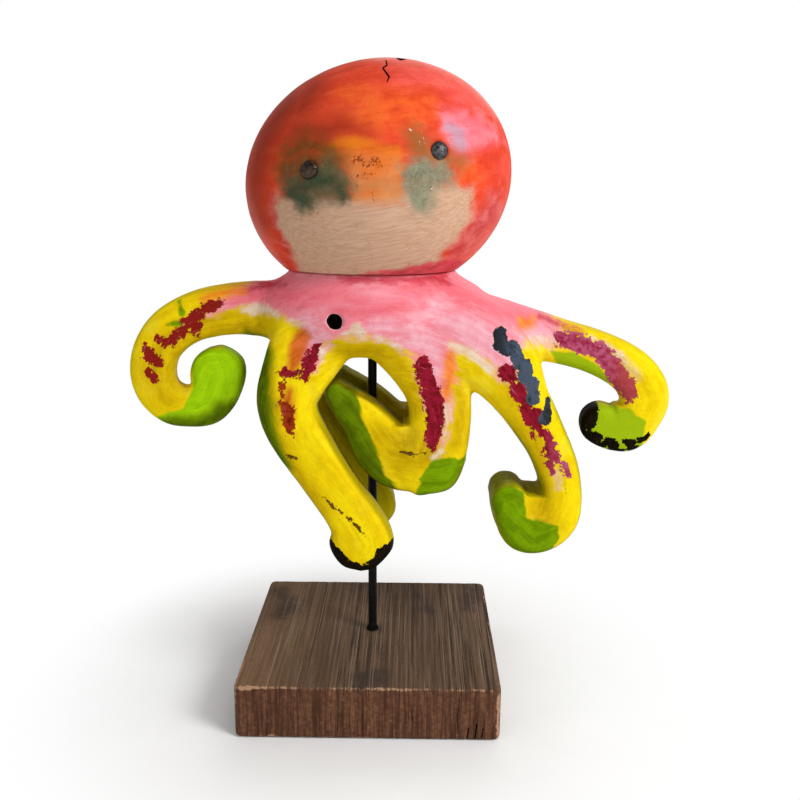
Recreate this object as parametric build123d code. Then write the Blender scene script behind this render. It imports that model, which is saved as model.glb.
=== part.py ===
"""Painted wooden octopus on a rod stand.

The origin is the centre of the block's underside, +Z is up and the figure looks towards -Y. The figure
turns on the rod. Its own heights are measured from the seat, the flat underside of the mantle.
"""
import os
from math import atan2, copysign, cos, degrees, pi, radians, sin, sqrt
from typing import NamedTuple

from build123d import *

# Stand
BASE_WIDTH = 112.0
BASE_DEPTH = 112.0
BASE_HEIGHT = 23.5
BASE_CORNER_RADIUS = 3.0
BASE_EDGE_CHAMFER = 0.9
ROD_DIAMETER = 4.0
ROD_EXPOSED = 132.5
ROD_IN_BASE = 16.0
ROD_IN_BODY = 26.0
ROD_TIP_CHAMFER = 0.5
ROD_GLUE_GAP = 0.03
ROD_TURN_GAP = 0.06
ROD_PASS_GAP = 2.0

# Mantle: ellipses above the seat, each a height and two half widths
MANTLE_SECTIONS = (
    (0.0, 34.0, 22.0),
    (5.0, 45.0, 28.0),
    (13.0, 51.0, 32.0),
    (22.0, 51.5, 33.0),
    (30.0, 44.5, 31.5),
)
NECK_HEIGHT = 36.0
NECK_WIDTH = 72.0
NECK_DEPTH = 59.0
SIPHON_DIAMETER = 6.0
SIPHON_DEPTH = 7.0
SIPHON_X = -14.0
SIPHON_HEIGHT = 17.0

# Head: an ellipsoid, tilted so that its +X side stands higher, cut flat at the neck
HEAD_WIDTH = 113.7
HEAD_DEPTH = 96.0
HEAD_HEIGHT = 98.2
HEAD_TILT = 14.0
HEAD_X = 2.7
HEAD_ABOVE_NECK = 37.5

# Eyes: domed nails
LEFT_EYE_X = -23.7
LEFT_EYE_HEIGHT = 9.5
RIGHT_EYE_X = 26.9
RIGHT_EYE_HEIGHT = 4.7
NAIL_HEAD_DIAMETER = 7.2
NAIL_DOME = 1.8
NAIL_RIM = 0.8
NAIL_SHANK_DIAMETER = 2.6
NAIL_SHANK_LENGTH = 20.0
NAIL_POINT = 4.0
NAIL_SEAT_DEPTH = 1.0
NAIL_SEAT_GAP = 0.3
NAIL_GAP = 0.03

# Dowels in the glue joints
DOWEL_DIAMETER = 6.0
DOWEL_LENGTH = 24.0
HOOK_DOWEL_DIAMETER = 4.0
HOOK_DOWEL_LENGTH = 16.0
NECK_DOWEL_DIAMETER = 10.0
NECK_DOWEL_LENGTH = 28.0
NECK_DOWEL_SPACING = 36.0
DOWEL_GAP = 0.05
DOWEL_END_GAP = 0.5

# Arms: sawn from boards and rounded over
FRONT_BOARD = 24.0
FRONT_TIP = 21.0
RIGHT_BOARD = 30.0
RIGHT_TIP = 29.0
SIDE_BOARD = 20.0
SIDE_TIP = 17.0
BACK_RIGHT_BOARD = 18.0
BACK_RIGHT_TIP = 16.0
HOOK_BOARD = 22.0
HOOK_TIP = 17.0
ARM_GAP = 3.0
SIDE_Y = -4.0
SECTION_POWER = 4.2
LEAN = 7.0
SIDE_YAW = 4.0
HOOK_JOINT_DEPTH = 45.0
HOOK_JOINT_X = 14.0
SPINE_STEPS = 14
SECTION_STEPS = 16
TIP_ANGLES = (35.0, 60.0, 80.0)
TIP_FULLNESS = 0.2

# Arm paths: stations of x, height above the seat and width, from inside the mantle to the round tip
FAR_LEFT_PATH = (
    (-15.0, 16.0, 38.0),
    (-52.5, 19.2, 23.0),
    (-70.3, 17.5, 21.3),
    (-85.8, 10.6, 20.8),
    (-95.3, -4.5, 19.4),
    (-91.3, -20.1, 18.0),
    (-82.4, -24.0, 18.2),
    (-71.2, -20.4, 20.5),
    (-67.4, -9.6, 24.3),
)
LEFT_PATH = (
    (-20.0, 19.0, 42.0),
    (-28.3, 0.5, 32.0),
    (-32.7, -9.0, 28.8),
    (-35.6, -20.0, 25.5),
    (-30.3, -34.3, 24.3),
    (-22.6, -46.3, 22.3),
    (-13.3, -60.0, 21.5),
    (-6.3, -70.5, 23.3),
    (-3.9, -78.0, 28.0),
)
CENTRE_PATH = (
    (16.0, 14.0, 44.0),
    (26.0, -6.0, 30.5),
    (29.3, -17.5, 27.2),
    (29.6, -26.0, 26.8),
    (24.5, -43.0, 32.5),
)
HOOK_PATH = (
    (22.0, -44.0, 26.0),
    (8.6, -42.2, 26.0),
    (2.8, -36.2, 24.0),
    (-2.1, -28.2, 20.0),
    (-7.5, -21.3, 15.7),
    (-10.2, -17.5, 11.5),
    (-12.2, -14.8, 8.0),
)
FRONT_RIGHT_PATH = (
    (43.0, 8.0, 36.0),
    (59.0, -7.5, 30.0),
    (64.0, -16.0, 24.5),
    (70.2, -26.1, 21.2),
    (76.1, -36.8, 19.2),
    (80.8, -47.9, 18.4),
    (82.8, -58.0, 17.8),
    (79.5, -70.0, 21.5),
    (71.0, -74.6, 23.5),
    (63.8, -70.5, 20.0),
    (60.3, -62.8, 15.2),
)
BACK_RIGHT_PATH = (
    (44.0, 7.0, 36.0),
    (60.0, -9.5, 27.0),
    (67.5, -21.5, 21.5),
    (73.8, -32.9, 18.0),
    (80.2, -44.3, 16.5),
    (85.0, -56.2, 16.0),
    (87.0, -67.0, 15.5),
    (83.5, -79.3, 18.5),
    (75.0, -84.3, 20.5),
    (67.5, -80.0, 17.5),
    (64.0, -72.5, 13.5),
)
FAR_RIGHT_PATH = (
    (36.0, 11.0, 36.0),
    (62.0, 10.0, 23.5),
    (81.0, 5.9, 19.4),
    (92.0, 3.0, 18.8),
    (105.8, -2.5, 19.6),
    (114.2, -8.5, 20.8),
    (119.0, -18.0, 21.0),
    (115.2, -28.8, 19.8),
    (107.0, -32.4, 21.0),
    (100.8, -30.2, 18.5),
)

SEAT = BASE_HEIGHT + ROD_EXPOSED
NECK = SEAT + NECK_HEIGHT
FRONT_Y = -(ROD_DIAMETER / 2 + ROD_PASS_GAP + FRONT_BOARD / 2)
RIGHT_Y = FRONT_Y + (RIGHT_BOARD - FRONT_BOARD) / 2
BACK_RIGHT_Y = RIGHT_Y + RIGHT_BOARD / 2 + ARM_GAP + BACK_RIGHT_BOARD / 2
ON_FLOOR = (Align.CENTER, Align.CENTER, Align.MIN)
UNDER_FLOOR = (Align.CENTER, Align.CENTER, Align.MAX)


class Arm(NamedTuple):
    """An arm's path, the station of its glue joint, and its board with the plane that it lies in."""

    path: tuple
    joint: tuple
    y: float
    board: float
    tip_board: float
    yaw: float = 0.0
    lean: float = 0.0


ARMS = {
    "far_left_arm": Arm(FAR_LEFT_PATH, FAR_LEFT_PATH[1], SIDE_Y, SIDE_BOARD, SIDE_TIP, yaw=SIDE_YAW),
    "front_left_arm": Arm(LEFT_PATH, LEFT_PATH[2], FRONT_Y, FRONT_BOARD, FRONT_TIP, lean=LEAN),
    "front_centre_arm": Arm(CENTRE_PATH, CENTRE_PATH[2], FRONT_Y, FRONT_BOARD, FRONT_BOARD),
    "front_right_arm": Arm(FRONT_RIGHT_PATH, FRONT_RIGHT_PATH[2], RIGHT_Y, RIGHT_BOARD, RIGHT_TIP),
    "far_right_arm": Arm(FAR_RIGHT_PATH, FAR_RIGHT_PATH[2], SIDE_Y, SIDE_BOARD, SIDE_TIP, yaw=-SIDE_YAW),
    "back_left_arm": Arm(LEFT_PATH, LEFT_PATH[2], -FRONT_Y, FRONT_BOARD, FRONT_TIP, lean=-LEAN),
    "back_centre_arm": Arm(CENTRE_PATH, CENTRE_PATH[2], -FRONT_Y, FRONT_BOARD, FRONT_BOARD),
    "back_right_arm": Arm(BACK_RIGHT_PATH, BACK_RIGHT_PATH[2], BACK_RIGHT_Y, BACK_RIGHT_BOARD, BACK_RIGHT_TIP),
}
HOOKS = {
    "front_centre_arm": "front_centre_hook",
    "back_centre_arm": "back_centre_hook",
}


def board_plane(arm):
    """Plane of the board's middle, with its origin at the arm's glue joint and its normal to the front."""
    x, height, _ = arm.joint
    yaw = radians(arm.yaw)
    lean = radians(arm.lean)
    along = Vector(cos(yaw), sin(yaw), 0)
    up = Vector(-sin(yaw) * sin(lean), cos(yaw) * sin(lean), cos(lean))
    return Plane(origin=(x, arm.y, SEAT + height), x_dir=along, z_dir=along.cross(up))


def spine(arm, path):
    """Curve through a path's stations, from the arm's joint, with the width as third coordinate."""
    x0, height0, _ = arm.joint
    return Spline(*[(x - x0, height - height0, width) for x, height, width in path])


def round_section(width, depth):
    """Section of a limb: a rectangle that is rounded over all round, as a superellipse."""
    points = []
    for step in range(SECTION_STEPS):
        angle = 2 * pi * step / SECTION_STEPS
        across = copysign(abs(cos(angle)) ** (2 / SECTION_POWER), cos(angle))
        through = copysign(abs(sin(angle)) ** (2 / SECTION_POWER), sin(angle))
        points.append((across * width / 2, through * depth / 2))
    return make_face(Spline(*points, periodic=True))


def limb(arm, path, root_depth, tip_depth):
    """Limb lofted along its path and closed by a tip that is round in its board and fuller across it."""
    place = board_plane(arm).location
    curve = spine(arm, path)
    stations = [(step / SPINE_STEPS, 0.0) for step in range(SPINE_STEPS + 1)]
    stations += [(1.0, radians(angle)) for angle in TIP_ANGLES]
    sections = []
    for share, tip_angle in stations:
        station = curve @ share
        heading = curve % share
        along = Vector(heading.X, heading.Y).normalized()
        middle = Vector(station.X, station.Y) + along * (sin(tip_angle) * station.Z / 2)
        depth = root_depth + (tip_depth - root_depth) * share
        section = round_section(cos(tip_angle) * station.Z, cos(tip_angle) ** TIP_FULLNESS * depth)
        sections.append(place * Plane(middle, x_dir=Vector(-along.Y, along.X), z_dir=along).location * section)
    return loft(sections)


def joint_frame(arm):
    """Location of an arm's glue joint, with local X along the arm, away from the mantle."""
    curve = spine(arm, arm.path)
    heading = curve % curve.param_at_point(Vector(0, 0, arm.joint[2]))
    return board_plane(arm).location * Rot(0, 0, degrees(atan2(heading.Y, heading.X)))


def mantle_side(arm):
    """Block that holds what lies on the mantle's side of an arm's joint."""
    reach = 2 * max(section[1] for section in MANTLE_SECTIONS)
    width = 2 * max(station[2] for station in arm.path)
    block = Box(reach, width, 2 * arm.board, align=(Align.MAX, Align.CENTER, Align.CENTER))
    return joint_frame(arm) * block


def dowel(place, diameter, length):
    """Dowel centred on a joint, along the joint's local X."""
    return place * Rot(0, 90, 0) * Cylinder(diameter / 2, length)


def dowel_hole(place, diameter, length):
    """Room for a dowel: its fit all round and a little glue room at each end."""
    return dowel(place, diameter + 2 * DOWEL_GAP, length + 2 * DOWEL_END_GAP)


def split_arms():
    """Each arm past its joint, and the stubs that stay on the mantle."""
    arms = {}
    stubs = []
    for name, arm in ARMS.items():
        whole = limb(arm, arm.path, arm.board, arm.tip_board)
        inner = mantle_side(arm)
        hole = dowel_hole(joint_frame(arm), DOWEL_DIAMETER, DOWEL_LENGTH)
        stubs.append(whole & inner)
        arms[name] = whole - inner - hole
    return arms, stubs


def hook_joint(arm):
    """Location of the dowel between a stem and its hook, with local X downwards."""
    x = arm.path[-1][0]
    return Pos(x, arm.y, SEAT - HOOK_JOINT_DEPTH) * Rot(0, 90, 0)


def split_hook(arm, stem):
    """A stem and its turned-up hook, which meet at a step: flat under the stem and upright beside it."""
    reach = 2 * HOOK_JOINT_DEPTH
    both = stem + limb(arm, HOOK_PATH, HOOK_BOARD, HOOK_TIP)
    corner = Pos(HOOK_JOINT_X, arm.y, SEAT - HOOK_JOINT_DEPTH)
    kept = corner * Box(reach, 2 * arm.board, reach, align=(Align.MIN, Align.CENTER, Align.MIN))
    hole = dowel_hole(hook_joint(arm), HOOK_DOWEL_DIAMETER, HOOK_DOWEL_LENGTH)
    return (both & kept) - hole, both - kept - hole


def mantle(stubs):
    """Body below the neck: a flared skirt with a stub for each arm."""
    rings = [Pos(0, 0, SEAT + height) * Ellipse(wide, deep) for height, wide, deep in MANTLE_SECTIONS]
    rings.append(Pos(0, 0, NECK) * Ellipse(NECK_WIDTH / 2, NECK_DEPTH / 2))
    body = loft(rings)
    for stub in stubs:
        body += stub
    bore = Cylinder(ROD_DIAMETER / 2 + ROD_TURN_GAP, ROD_IN_BODY, align=ON_FLOOR)
    body -= Pos(0, 0, SEAT) * bore
    for place in [joint_frame(arm) for arm in ARMS.values()]:
        body -= dowel_hole(place, DOWEL_DIAMETER, DOWEL_LENGTH)
    for place in neck_joints():
        body -= dowel_hole(place, NECK_DOWEL_DIAMETER, NECK_DOWEL_LENGTH)
    return body - siphon()


def siphon():
    """Drill for the siphon hole in the mantle's front."""
    front = max(section[2] for section in MANTLE_SECTIONS)
    drill = Cylinder(SIPHON_DIAMETER / 2, front, align=ON_FLOOR)
    return Pos(SIPHON_X, SIPHON_DEPTH - front, SEAT + SIPHON_HEIGHT) * Rot(90, 0, 0) * drill


def neck_joints():
    """Locations of the two neck dowels, with local X upwards."""
    return [Pos(side * NECK_DOWEL_SPACING / 2, 0, NECK) * Rot(0, -90, 0) for side in (-1, 1)]


def head_frame():
    """Location of the head's centre and tilt."""
    return Pos(HEAD_X, 0, NECK + HEAD_ABOVE_NECK) * Rot(0, -HEAD_TILT, 0)


def eye_frame(x, height):
    """Location on the head's front where an eye's nail goes in, with local Z outwards."""
    half = Vector(HEAD_WIDTH / 2, HEAD_DEPTH / 2, HEAD_HEIGHT / 2)
    y = -half.Y * sqrt(1 - (x / half.X) ** 2 - (height / half.Z) ** 2)
    outwards = Vector(x / half.X**2, y / half.Y**2, height / half.Z**2)
    face = head_frame() * Plane((x, y, height), z_dir=outwards).location
    return face * Pos(0, 0, -NAIL_SEAT_DEPTH)


EYES = {
    "left_eye_nail": eye_frame(LEFT_EYE_X, LEFT_EYE_HEIGHT),
    "right_eye_nail": eye_frame(RIGHT_EYE_X, RIGHT_EYE_HEIGHT),
}


def head():
    """Ball head with a flat neck face, dowel holes and drilled seats for the eye nails."""
    ball = head_frame() * scale(Sphere(0.5), by=(HEAD_WIDTH, HEAD_DEPTH, HEAD_HEIGHT))
    above = Box(2 * HEAD_WIDTH, 2 * HEAD_DEPTH, 2 * HEAD_HEIGHT, align=ON_FLOOR)
    ball &= Pos(0, 0, NECK) * above
    for place in neck_joints():
        ball -= dowel_hole(place, NECK_DOWEL_DIAMETER, NECK_DOWEL_LENGTH)
    seat = Cylinder(NAIL_HEAD_DIAMETER / 2 + NAIL_SEAT_GAP, NAIL_HEAD_DIAMETER, align=ON_FLOOR)
    hole = Cylinder(NAIL_SHANK_DIAMETER / 2 + NAIL_GAP, NAIL_SHANK_LENGTH, align=UNDER_FLOOR)
    for place in EYES.values():
        ball -= place * (seat + hole)
    return ball


def eye_nail(place):
    """Nail with a domed head, seated in the head's face."""
    shank = NAIL_SHANK_DIAMETER / 2
    rim = NAIL_HEAD_DIAMETER / 2
    crown = NAIL_RIM + NAIL_DOME
    radius = (rim**2 + NAIL_DOME**2) / (2 * NAIL_DOME)
    shoulder = Vector(rim, NAIL_RIM)
    profile = Polyline(
        (0, crown),
        (0, -NAIL_SHANK_LENGTH),
        (shank, NAIL_POINT - NAIL_SHANK_LENGTH),
        (shank, 0),
        (rim, 0),
        shoulder,
    )
    dome = RadiusArc(shoulder, (0, crown), -radius)
    nail = revolve(Plane.XZ * make_face([*profile.edges(), dome]), Axis.Z)
    return place * nail


def base_block():
    """Block with worn edges and a blind hole for the rod."""
    block = Box(BASE_WIDTH, BASE_DEPTH, BASE_HEIGHT, align=ON_FLOOR)
    block = fillet(block.edges().filter_by(Axis.Z), BASE_CORNER_RADIUS)
    rims = block.faces().filter_by(Plane.XY).edges()
    block = chamfer(rims, BASE_EDGE_CHAMFER)
    hole = Cylinder(ROD_DIAMETER / 2 + ROD_GLUE_GAP, ROD_IN_BASE, align=UNDER_FLOOR)
    return block - Pos(0, 0, BASE_HEIGHT) * hole


def stand_rod():
    """Rod from the floor of the block's hole to the end of the mantle's bore."""
    length = ROD_IN_BASE + ROD_EXPOSED + ROD_IN_BODY
    rod = Cylinder(ROD_DIAMETER / 2, length, align=ON_FLOOR)
    rod = chamfer(rod.edges().sort_by(Axis.Z)[-1], ROD_TIP_CHAMFER)
    return Pos(0, 0, BASE_HEIGHT - ROD_IN_BASE) * rod


def main():
    nodes, stubs = split_arms()
    for stem_name, hook_name in HOOKS.items():
        stem, hook = split_hook(ARMS[stem_name], nodes[stem_name])
        nodes[stem_name] = stem
        nodes[hook_name] = hook
    nodes["mantle"] = mantle(stubs)
    nodes["head"] = head()
    for name, place in EYES.items():
        nodes[name] = eye_nail(place)
    nodes["base_block"] = base_block()
    nodes["stand_rod"] = stand_rod()
    arm_joints = [joint_frame(arm) for arm in ARMS.values()]
    hook_joints = [hook_joint(ARMS[stem_name]) for stem_name in HOOKS]
    nodes["arm_dowels"] = Compound([dowel(place, DOWEL_DIAMETER, DOWEL_LENGTH) for place in arm_joints])
    nodes["hook_dowels"] = Compound(
        [dowel(place, HOOK_DOWEL_DIAMETER, HOOK_DOWEL_LENGTH) for place in hook_joints]
    )
    nodes["neck_dowels"] = Compound(
        [dowel(place, NECK_DOWEL_DIAMETER, NECK_DOWEL_LENGTH) for place in neck_joints()]
    )
    os.makedirs("parts", exist_ok=True)
    for name, shape in nodes.items():
        export_step(shape, f"parts/{name}.step")


main()
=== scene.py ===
"""Looks of the painted wooden octopus on its rod stand. Lengths in the tables are in millimetres."""
import math

import bmesh
import bpy
import numpy as np
from mathutils import Matrix, Vector, noise


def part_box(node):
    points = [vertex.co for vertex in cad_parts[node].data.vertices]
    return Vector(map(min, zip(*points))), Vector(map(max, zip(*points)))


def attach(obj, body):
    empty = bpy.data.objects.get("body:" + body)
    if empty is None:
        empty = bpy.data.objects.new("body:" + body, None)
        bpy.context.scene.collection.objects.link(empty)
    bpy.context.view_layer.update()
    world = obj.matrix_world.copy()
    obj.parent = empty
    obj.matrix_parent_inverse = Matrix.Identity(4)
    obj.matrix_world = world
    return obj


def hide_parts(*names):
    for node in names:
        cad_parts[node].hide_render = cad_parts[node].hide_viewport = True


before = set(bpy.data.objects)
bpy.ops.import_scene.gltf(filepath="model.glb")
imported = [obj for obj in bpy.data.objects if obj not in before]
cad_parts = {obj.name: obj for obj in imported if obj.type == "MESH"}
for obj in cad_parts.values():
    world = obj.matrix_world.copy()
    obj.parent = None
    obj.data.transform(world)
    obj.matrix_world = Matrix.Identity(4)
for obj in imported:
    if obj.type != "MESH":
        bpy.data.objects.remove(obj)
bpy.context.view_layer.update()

MM = 0.001
MERGE = 1e-6

# Camera
CAMERA_AT = (18.2, -421.2, 226.4)
CAMERA_PITCH = 12.39
CAMERA_YAW = -0.80
CAMERA_ROLL = 0.31
CAMERA_LENS = 43.44
SENSOR = 36.0

# Lights: name, place and size in metres, power in watts
LAMPS = (
    ("key", (0.70, -0.55, 0.68), 0.45, 8.4),
    ("fill", (-0.6, -0.7, 0.35), 0.8, 0.7),
    ("rim", (0.2, 0.8, 0.7), 0.6, 2.2),
)
LAMPS_AIM = (0, 0, 0.15)
SKY_LIGHT = 0.45
FLOOR_SIZE = 6.0
FLOOR_LEVEL = -0.0002
FLOOR_FADE = (0.07, 0.17)

# Carving: face sizes of the even skins, rounds of sanding, then depth and spread of the knife marks
SKIN = 0.9
HEAD_SKIN = 0.75
BASE_SKIN = 0.8
NAIL_SKIN = 0.2
SANDING = 6
HUB_SANDING = 14
ROOT_SANDING = 60
HEAD_SANDING = 5
NAIL_SANDING = 2
WHITTLING = (0.35, 16.0)
HEAD_WHITTLING = (0.3, 22.0)
NAIL_DENTS = (0.3, 2.4)
FINE_MARKS = 0.25
FINE_SIZE = 0.3
SHARP_ANGLE = 50.0
CUT_SNAP = 1e-7

# Places on the figure: neck face, hub round the rod's bore, step joints, siphon hole (painted on, not
# carved), hooks and stub roots
NECK = 192.0
NECK_FREE = 1.6
HUB_LOW = 148.0
HUB_X = 12.0
HUB_REACH = 62.0
TWIN_SPLIT = 3.0
SIDE_ARM_Y = 5.0
STEP_X = 14.0
STEP_Z = 111.0
STEP_END_X = 50.0
STEP_HEIGHT = 22.0
STEP_OVERLAP = 1.5
STEP_BAND = 4.0
SIPHON = (-14.0, -29.0, 173.0)
SIPHON_CLEAR = 6.0
SIPHON_EDGE = 3.3
SIPHON_SIDE = -20.0
HOOK_LIFT = 1.8
HOOK_TOP = (0.55, 0.0, 0.83)
HOOK_REACH = 3.4
HOOK_REACH_FROM = (122.0, 139.0)
HOOK_SHORT = 129.0
STUB_ROOTS = ((45.0, -20.0, 168.0), (45.0, 20.0, 168.0))
STUB_ROOT_REACH = 21.0
STUB_ROOT_LOW = 157.0
SHOULDERS = ((63.0, -14.0, 167.0), (63.0, 14.0, 167.0))
SHOULDER_REACH = 15.0

# Wood that the saw left in the crooks of the curls: x, y, z, radius, length
CROOKS = (
    (70.0, -13.0, 90.0, 8.0, 26.0),
    (60.1, -13.0, 94.5, 7.9, 25.0),
)
HOOK_CROOKS = (
    (13.4, -16.0, 123.6, 4.8, 19.0),
    (13.4, 16.0, 123.6, 4.8, 19.0),
)

# Glue joints: place, heading away from the mantle, reach of the cut, tip
ARMS = {
    "far_left_arm": ((-52.5, -4, 175.2), (-0.9975, -0.0697, 0.0147), 18, (-67.4, -4, 146.4)),
    "front_left_arm": ((-32.7, -16, 147), (-0.3926, -0.1121, -0.9128), 21, (-3.9, -16, 78)),
    "front_centre_arm": ((29.3, -16, 138.5), (0.1405, 0, -0.9901), 21, (24.5, -16, 125)),
    "front_right_arm": ((64, -13, 140), (0.5093, 0, -0.8606), 22, (60.3, -13, 93.2)),
    "far_right_arm": ((81, -4, 161.9), (0.9737, -0.0681, -0.2175), 17, (100.8, -4, 125.8)),
    "back_left_arm": ((-32.7, 16, 147), (-0.3926, 0.1121, -0.9128), 21, (-3.9, 16, 78)),
    "back_centre_arm": ((29.3, 16, 138.5), (0.1405, 0, -0.9901), 21, (24.5, 16, 125)),
    "back_right_arm": ((67.5, 14, 134.5), (0.4908, 0, -0.8713), 17, (64, 14, 83.5)),
}
HOOKS = {"front_centre_hook": (-13.6, -16, 140.2), "back_centre_hook": (-13.6, 16, 140.2)}
HOOK_MIDDLES = {"front_centre_hook": (2.8, -16, 119.8), "back_centre_hook": (2.8, 16, 119.8)}

# Where the back begins on the pieces that have both a front and a back
MIDDLE_Y = {"far_left_arm": -5.0, "far_right_arm": -5.0, "mantle": 0.0, "head": 0.0}

# Lines that the brush followed along each arm: x and z, root to tip
ARM_LINES = {
    "far_left": ((-15, 172), (-52.5, 175.2), (-70.3, 173.5), (-85.8, 166.6), (-95.3, 151.5), (-91.3, 135.9),
                 (-82.4, 132), (-71.2, 135.6), (-67.4, 146.4)),
    "left": ((-20, 175), (-28.3, 156.5), (-35.6, 136), (-30.3, 121.7), (-22.6, 109.7), (-13.3, 96),
             (-3.9, 78)),
    "centre": ((16, 170), (26, 150), (29.6, 130), (24.5, 113)),
    "hook": ((30, 112), (22, 112), (8.6, 113.8), (2.8, 119.8), (-2.1, 127.8), (-13.6, 141.6)),
    "right": ((43, 164), (59, 148.5), (70.2, 129.9), (80.8, 108.1), (82.8, 98), (79.5, 86), (71, 81.4),
              (60.3, 93.2)),
    "far_right": ((36, 167), (62, 166), (81, 162.4), (105.8, 153.8), (114.2, 147.5), (119, 138),
                  (115.2, 127.2), (107.4, 123.6), (100, 125.5)),
}
HEAD_LINE = ((-60, 230), (60, 245))
LINES_ON = {
    "far_left_arm": ("far_left",), "front_left_arm": ("left",), "back_left_arm": ("left",),
    "front_centre_arm": ("centre", "hook"), "back_centre_arm": ("centre", "hook"),
    "front_centre_hook": ("hook",), "back_centre_hook": ("hook",), "front_right_arm": ("right",),
    "back_right_arm": ("right",), "far_right_arm": ("far_right",), "mantle": tuple(ARM_LINES),
}

# Brushwork on the arms and mantle, seen from the front: bands of x, z and half width, or outlines of x and z
ORANGE = (
    ((-71.1, 180.1, 1.5), (-66.5, 181.7, 1.9), (-60.6, 183, 1.7), (-53.9, 183.8, 1.1)),
    ((32.9, 158.3, 2.5), (33.4, 152, 2.9), (32.2, 144.4, 2.5), (31.5, 141, 1.3)),
    ((63.4, 171, 2.6), (67.2, 171, 2.6)),
)
RUST = (
    ((-28.2, 166.2, 3.4), (-29.8, 160.5, 3.6), (-31.5, 155.1, 2.9), (-33.1, 151.4, 1.6)),
    ((-33.6, 143, 2.0), (-34.5, 137.6, 2.7), (-33.7, 132.2, 2.1)),
)
MAROON = (
    ((-70.3, 176.3, 2.1), (-67, 177.5, 2.6), (-64, 178.4, 1.7)),
    ((-69.9, 175.8, 1.8), (-74.3, 172.8, 2.9), (-78.6, 170.3, 2.1)),
    ((-77.8, 168.6, 1.7), (-74, 169, 2.5), (-75, 166, 1.7)),
    ((-79.5, 166.9, 1.5), (-84.3, 163.9, 2.2), (-86.5, 161.7, 2.2)),
    ((-89.8, 163.4, 1.5), (-86.5, 161.3, 2.1), (-83.6, 161.3, 1.3)),
    ((-95.5, 158.7, 2.0), (-94.4, 155.7, 3.0), (-91.1, 153.1, 2.5)),
    ((-95.6, 149.6, 1.0), (-94, 147.4, 2.0), (-93.3, 144.3, 1.4)),
    ((-21.4, 162.2, 1.7), (-24.8, 156.8, 2.9), (-27.3, 149.3, 2.3)),
    ((-35.6, 151.3, 2.1), (-32.7, 150.5, 2.3), (-29.8, 151.4, 1.2)),
    ((-35.7, 148, 1.2), (-37, 141.3, 0.6)),
    ((-36.1, 138.8, 1.5), (-33.7, 134.6, 2.7), (-33.7, 129.2, 2.3), (-33.3, 123.8, 1)),
    ((21.7, 156.6, 2.5), (22.6, 152, 3.7), (24.7, 146.5, 3.7), (26.5, 140.1, 4), (27.4, 133.7, 4.2),
     (26.6, 126.4, 3.8), (25.9, 120.2, 1.7)),
    ((55.3, 152.6, 2.6), (57.4, 151.4, 4.0), (59.9, 149.3, 2.4)),
    ((60, 145.5, 2.3), (62.2, 143.8, 4.0), (65.2, 140.4, 2.7)),
    ((65.3, 137, 3.0), (67.9, 133.6, 4.4), (71, 129.8, 2.7)),
    ((68.9, 128.4, 1.3), (68.7, 124.5, 0.6)),
    ((72.4, 126.3, 2.1), (75.4, 123.3, 2.5), (76, 118.1, 2.9), (78.6, 115.9, 2.5)),
    ((75.8, 112.7, 1.7), (77.7, 108.8, 0.8)),
    ((82.2, 112.8, 1.7), (84.1, 108.4, 1.7)),
    ((80.4, 164.4, 3.2), (86.8, 162.8, 3.8), (93.2, 160.3, 3.8), (99.7, 157.4, 3.8)),
    ((99.8, 156.5, 3.4), (104.3, 150.5, 4.3), (108.4, 144.9, 4.5), (110.7, 141, 3.4), (110.3, 137.3, 1.5)),
)
SLATE = (
    ((53.6, 168.1, 2.8), (54.1, 163.5, 3.1), (57.1, 161, 2.7)),
    ((59.1, 162.7, 2.6), (60.9, 158.5, 3.1), (61.8, 154.8, 2.0)),
    ((64.7, 154.8, 2.8), (64.4, 150.6, 3.2)),
    ((67.9, 147.6, 2.6), (68.1, 140.9, 3.1)),
    ((74.6, 140.2, 1.2), (74.6, 136.1, 1.9), (73.4, 131.9, 2.8)),
)
BLACK = (
    ((-17.5, 80.1), (-13.7, 77.5), (-10.3, 74), (-7.3, 71.2), (-1.4, 69.9), (2.5, 73.4), (3.8, 77.2),
     (7.2, 78.4), (11.4, 80.4), (13.2, 71.4), (3.8, 64), (-8.2, 62), (-15.9, 68)),
    ((91.7, 136), (94.9, 137.2), (98.9, 134.9), (98.3, 132.6), (97.9, 128.1), (96.9, 125.4), (95, 123.6),
     (90, 125), (88.7, 133.3)),
    ((95.2, 123.2, 1.6), (98.8, 120.6, 2.3)),
    ((92.6, 122.6, 1.6), (96.2, 119.2, 1.7), (101.2, 116.8, 1.6)),
    ((102.8, 119.5, 1.9), (105.8, 117.6, 2.3)),
    ((105, 115, 1.6), (109.3, 114.2, 1.8)),
    ((110.6, 119.2, 1.7), (113.3, 118.6, 2.0)),
    ((113, 116.4, 1.6), (115, 116.6, 1.5)),
    ((116.6, 120.1, 1.5), (119.3, 121.4, 1.3), (120.2, 123.4, 0.7)),
)
LIME = (
    ((-92.9, 128.3), (-86.3, 131), (-81.5, 132.7), (-78.8, 138), (-77.2, 141.7), (-77.2, 146.9),
     (-82.2, 152.8), (-78, 157.6), (-66.8, 158.6), (-50.9, 158), (-49.9, 136.4), (-66, 120), (-83.6, 118)),
    ((99.2, 135), (107, 134.2), (111.9, 133.9), (114.9, 131), (118.3, 128.7), (118, 121.8), (117.5, 113.2),
     (107.2, 109.9), (95.8, 112.9), (90.9, 121.4), (88.9, 133), (93.9, 137.6)),
    ((77.3, 158.3), (87.1, 158.4), (94.5, 154.2), (99.8, 149.9), (102.7, 145.4), (100.2, 142.9),
     (89.6, 146.9), (80.9, 150.3)),
)
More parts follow.
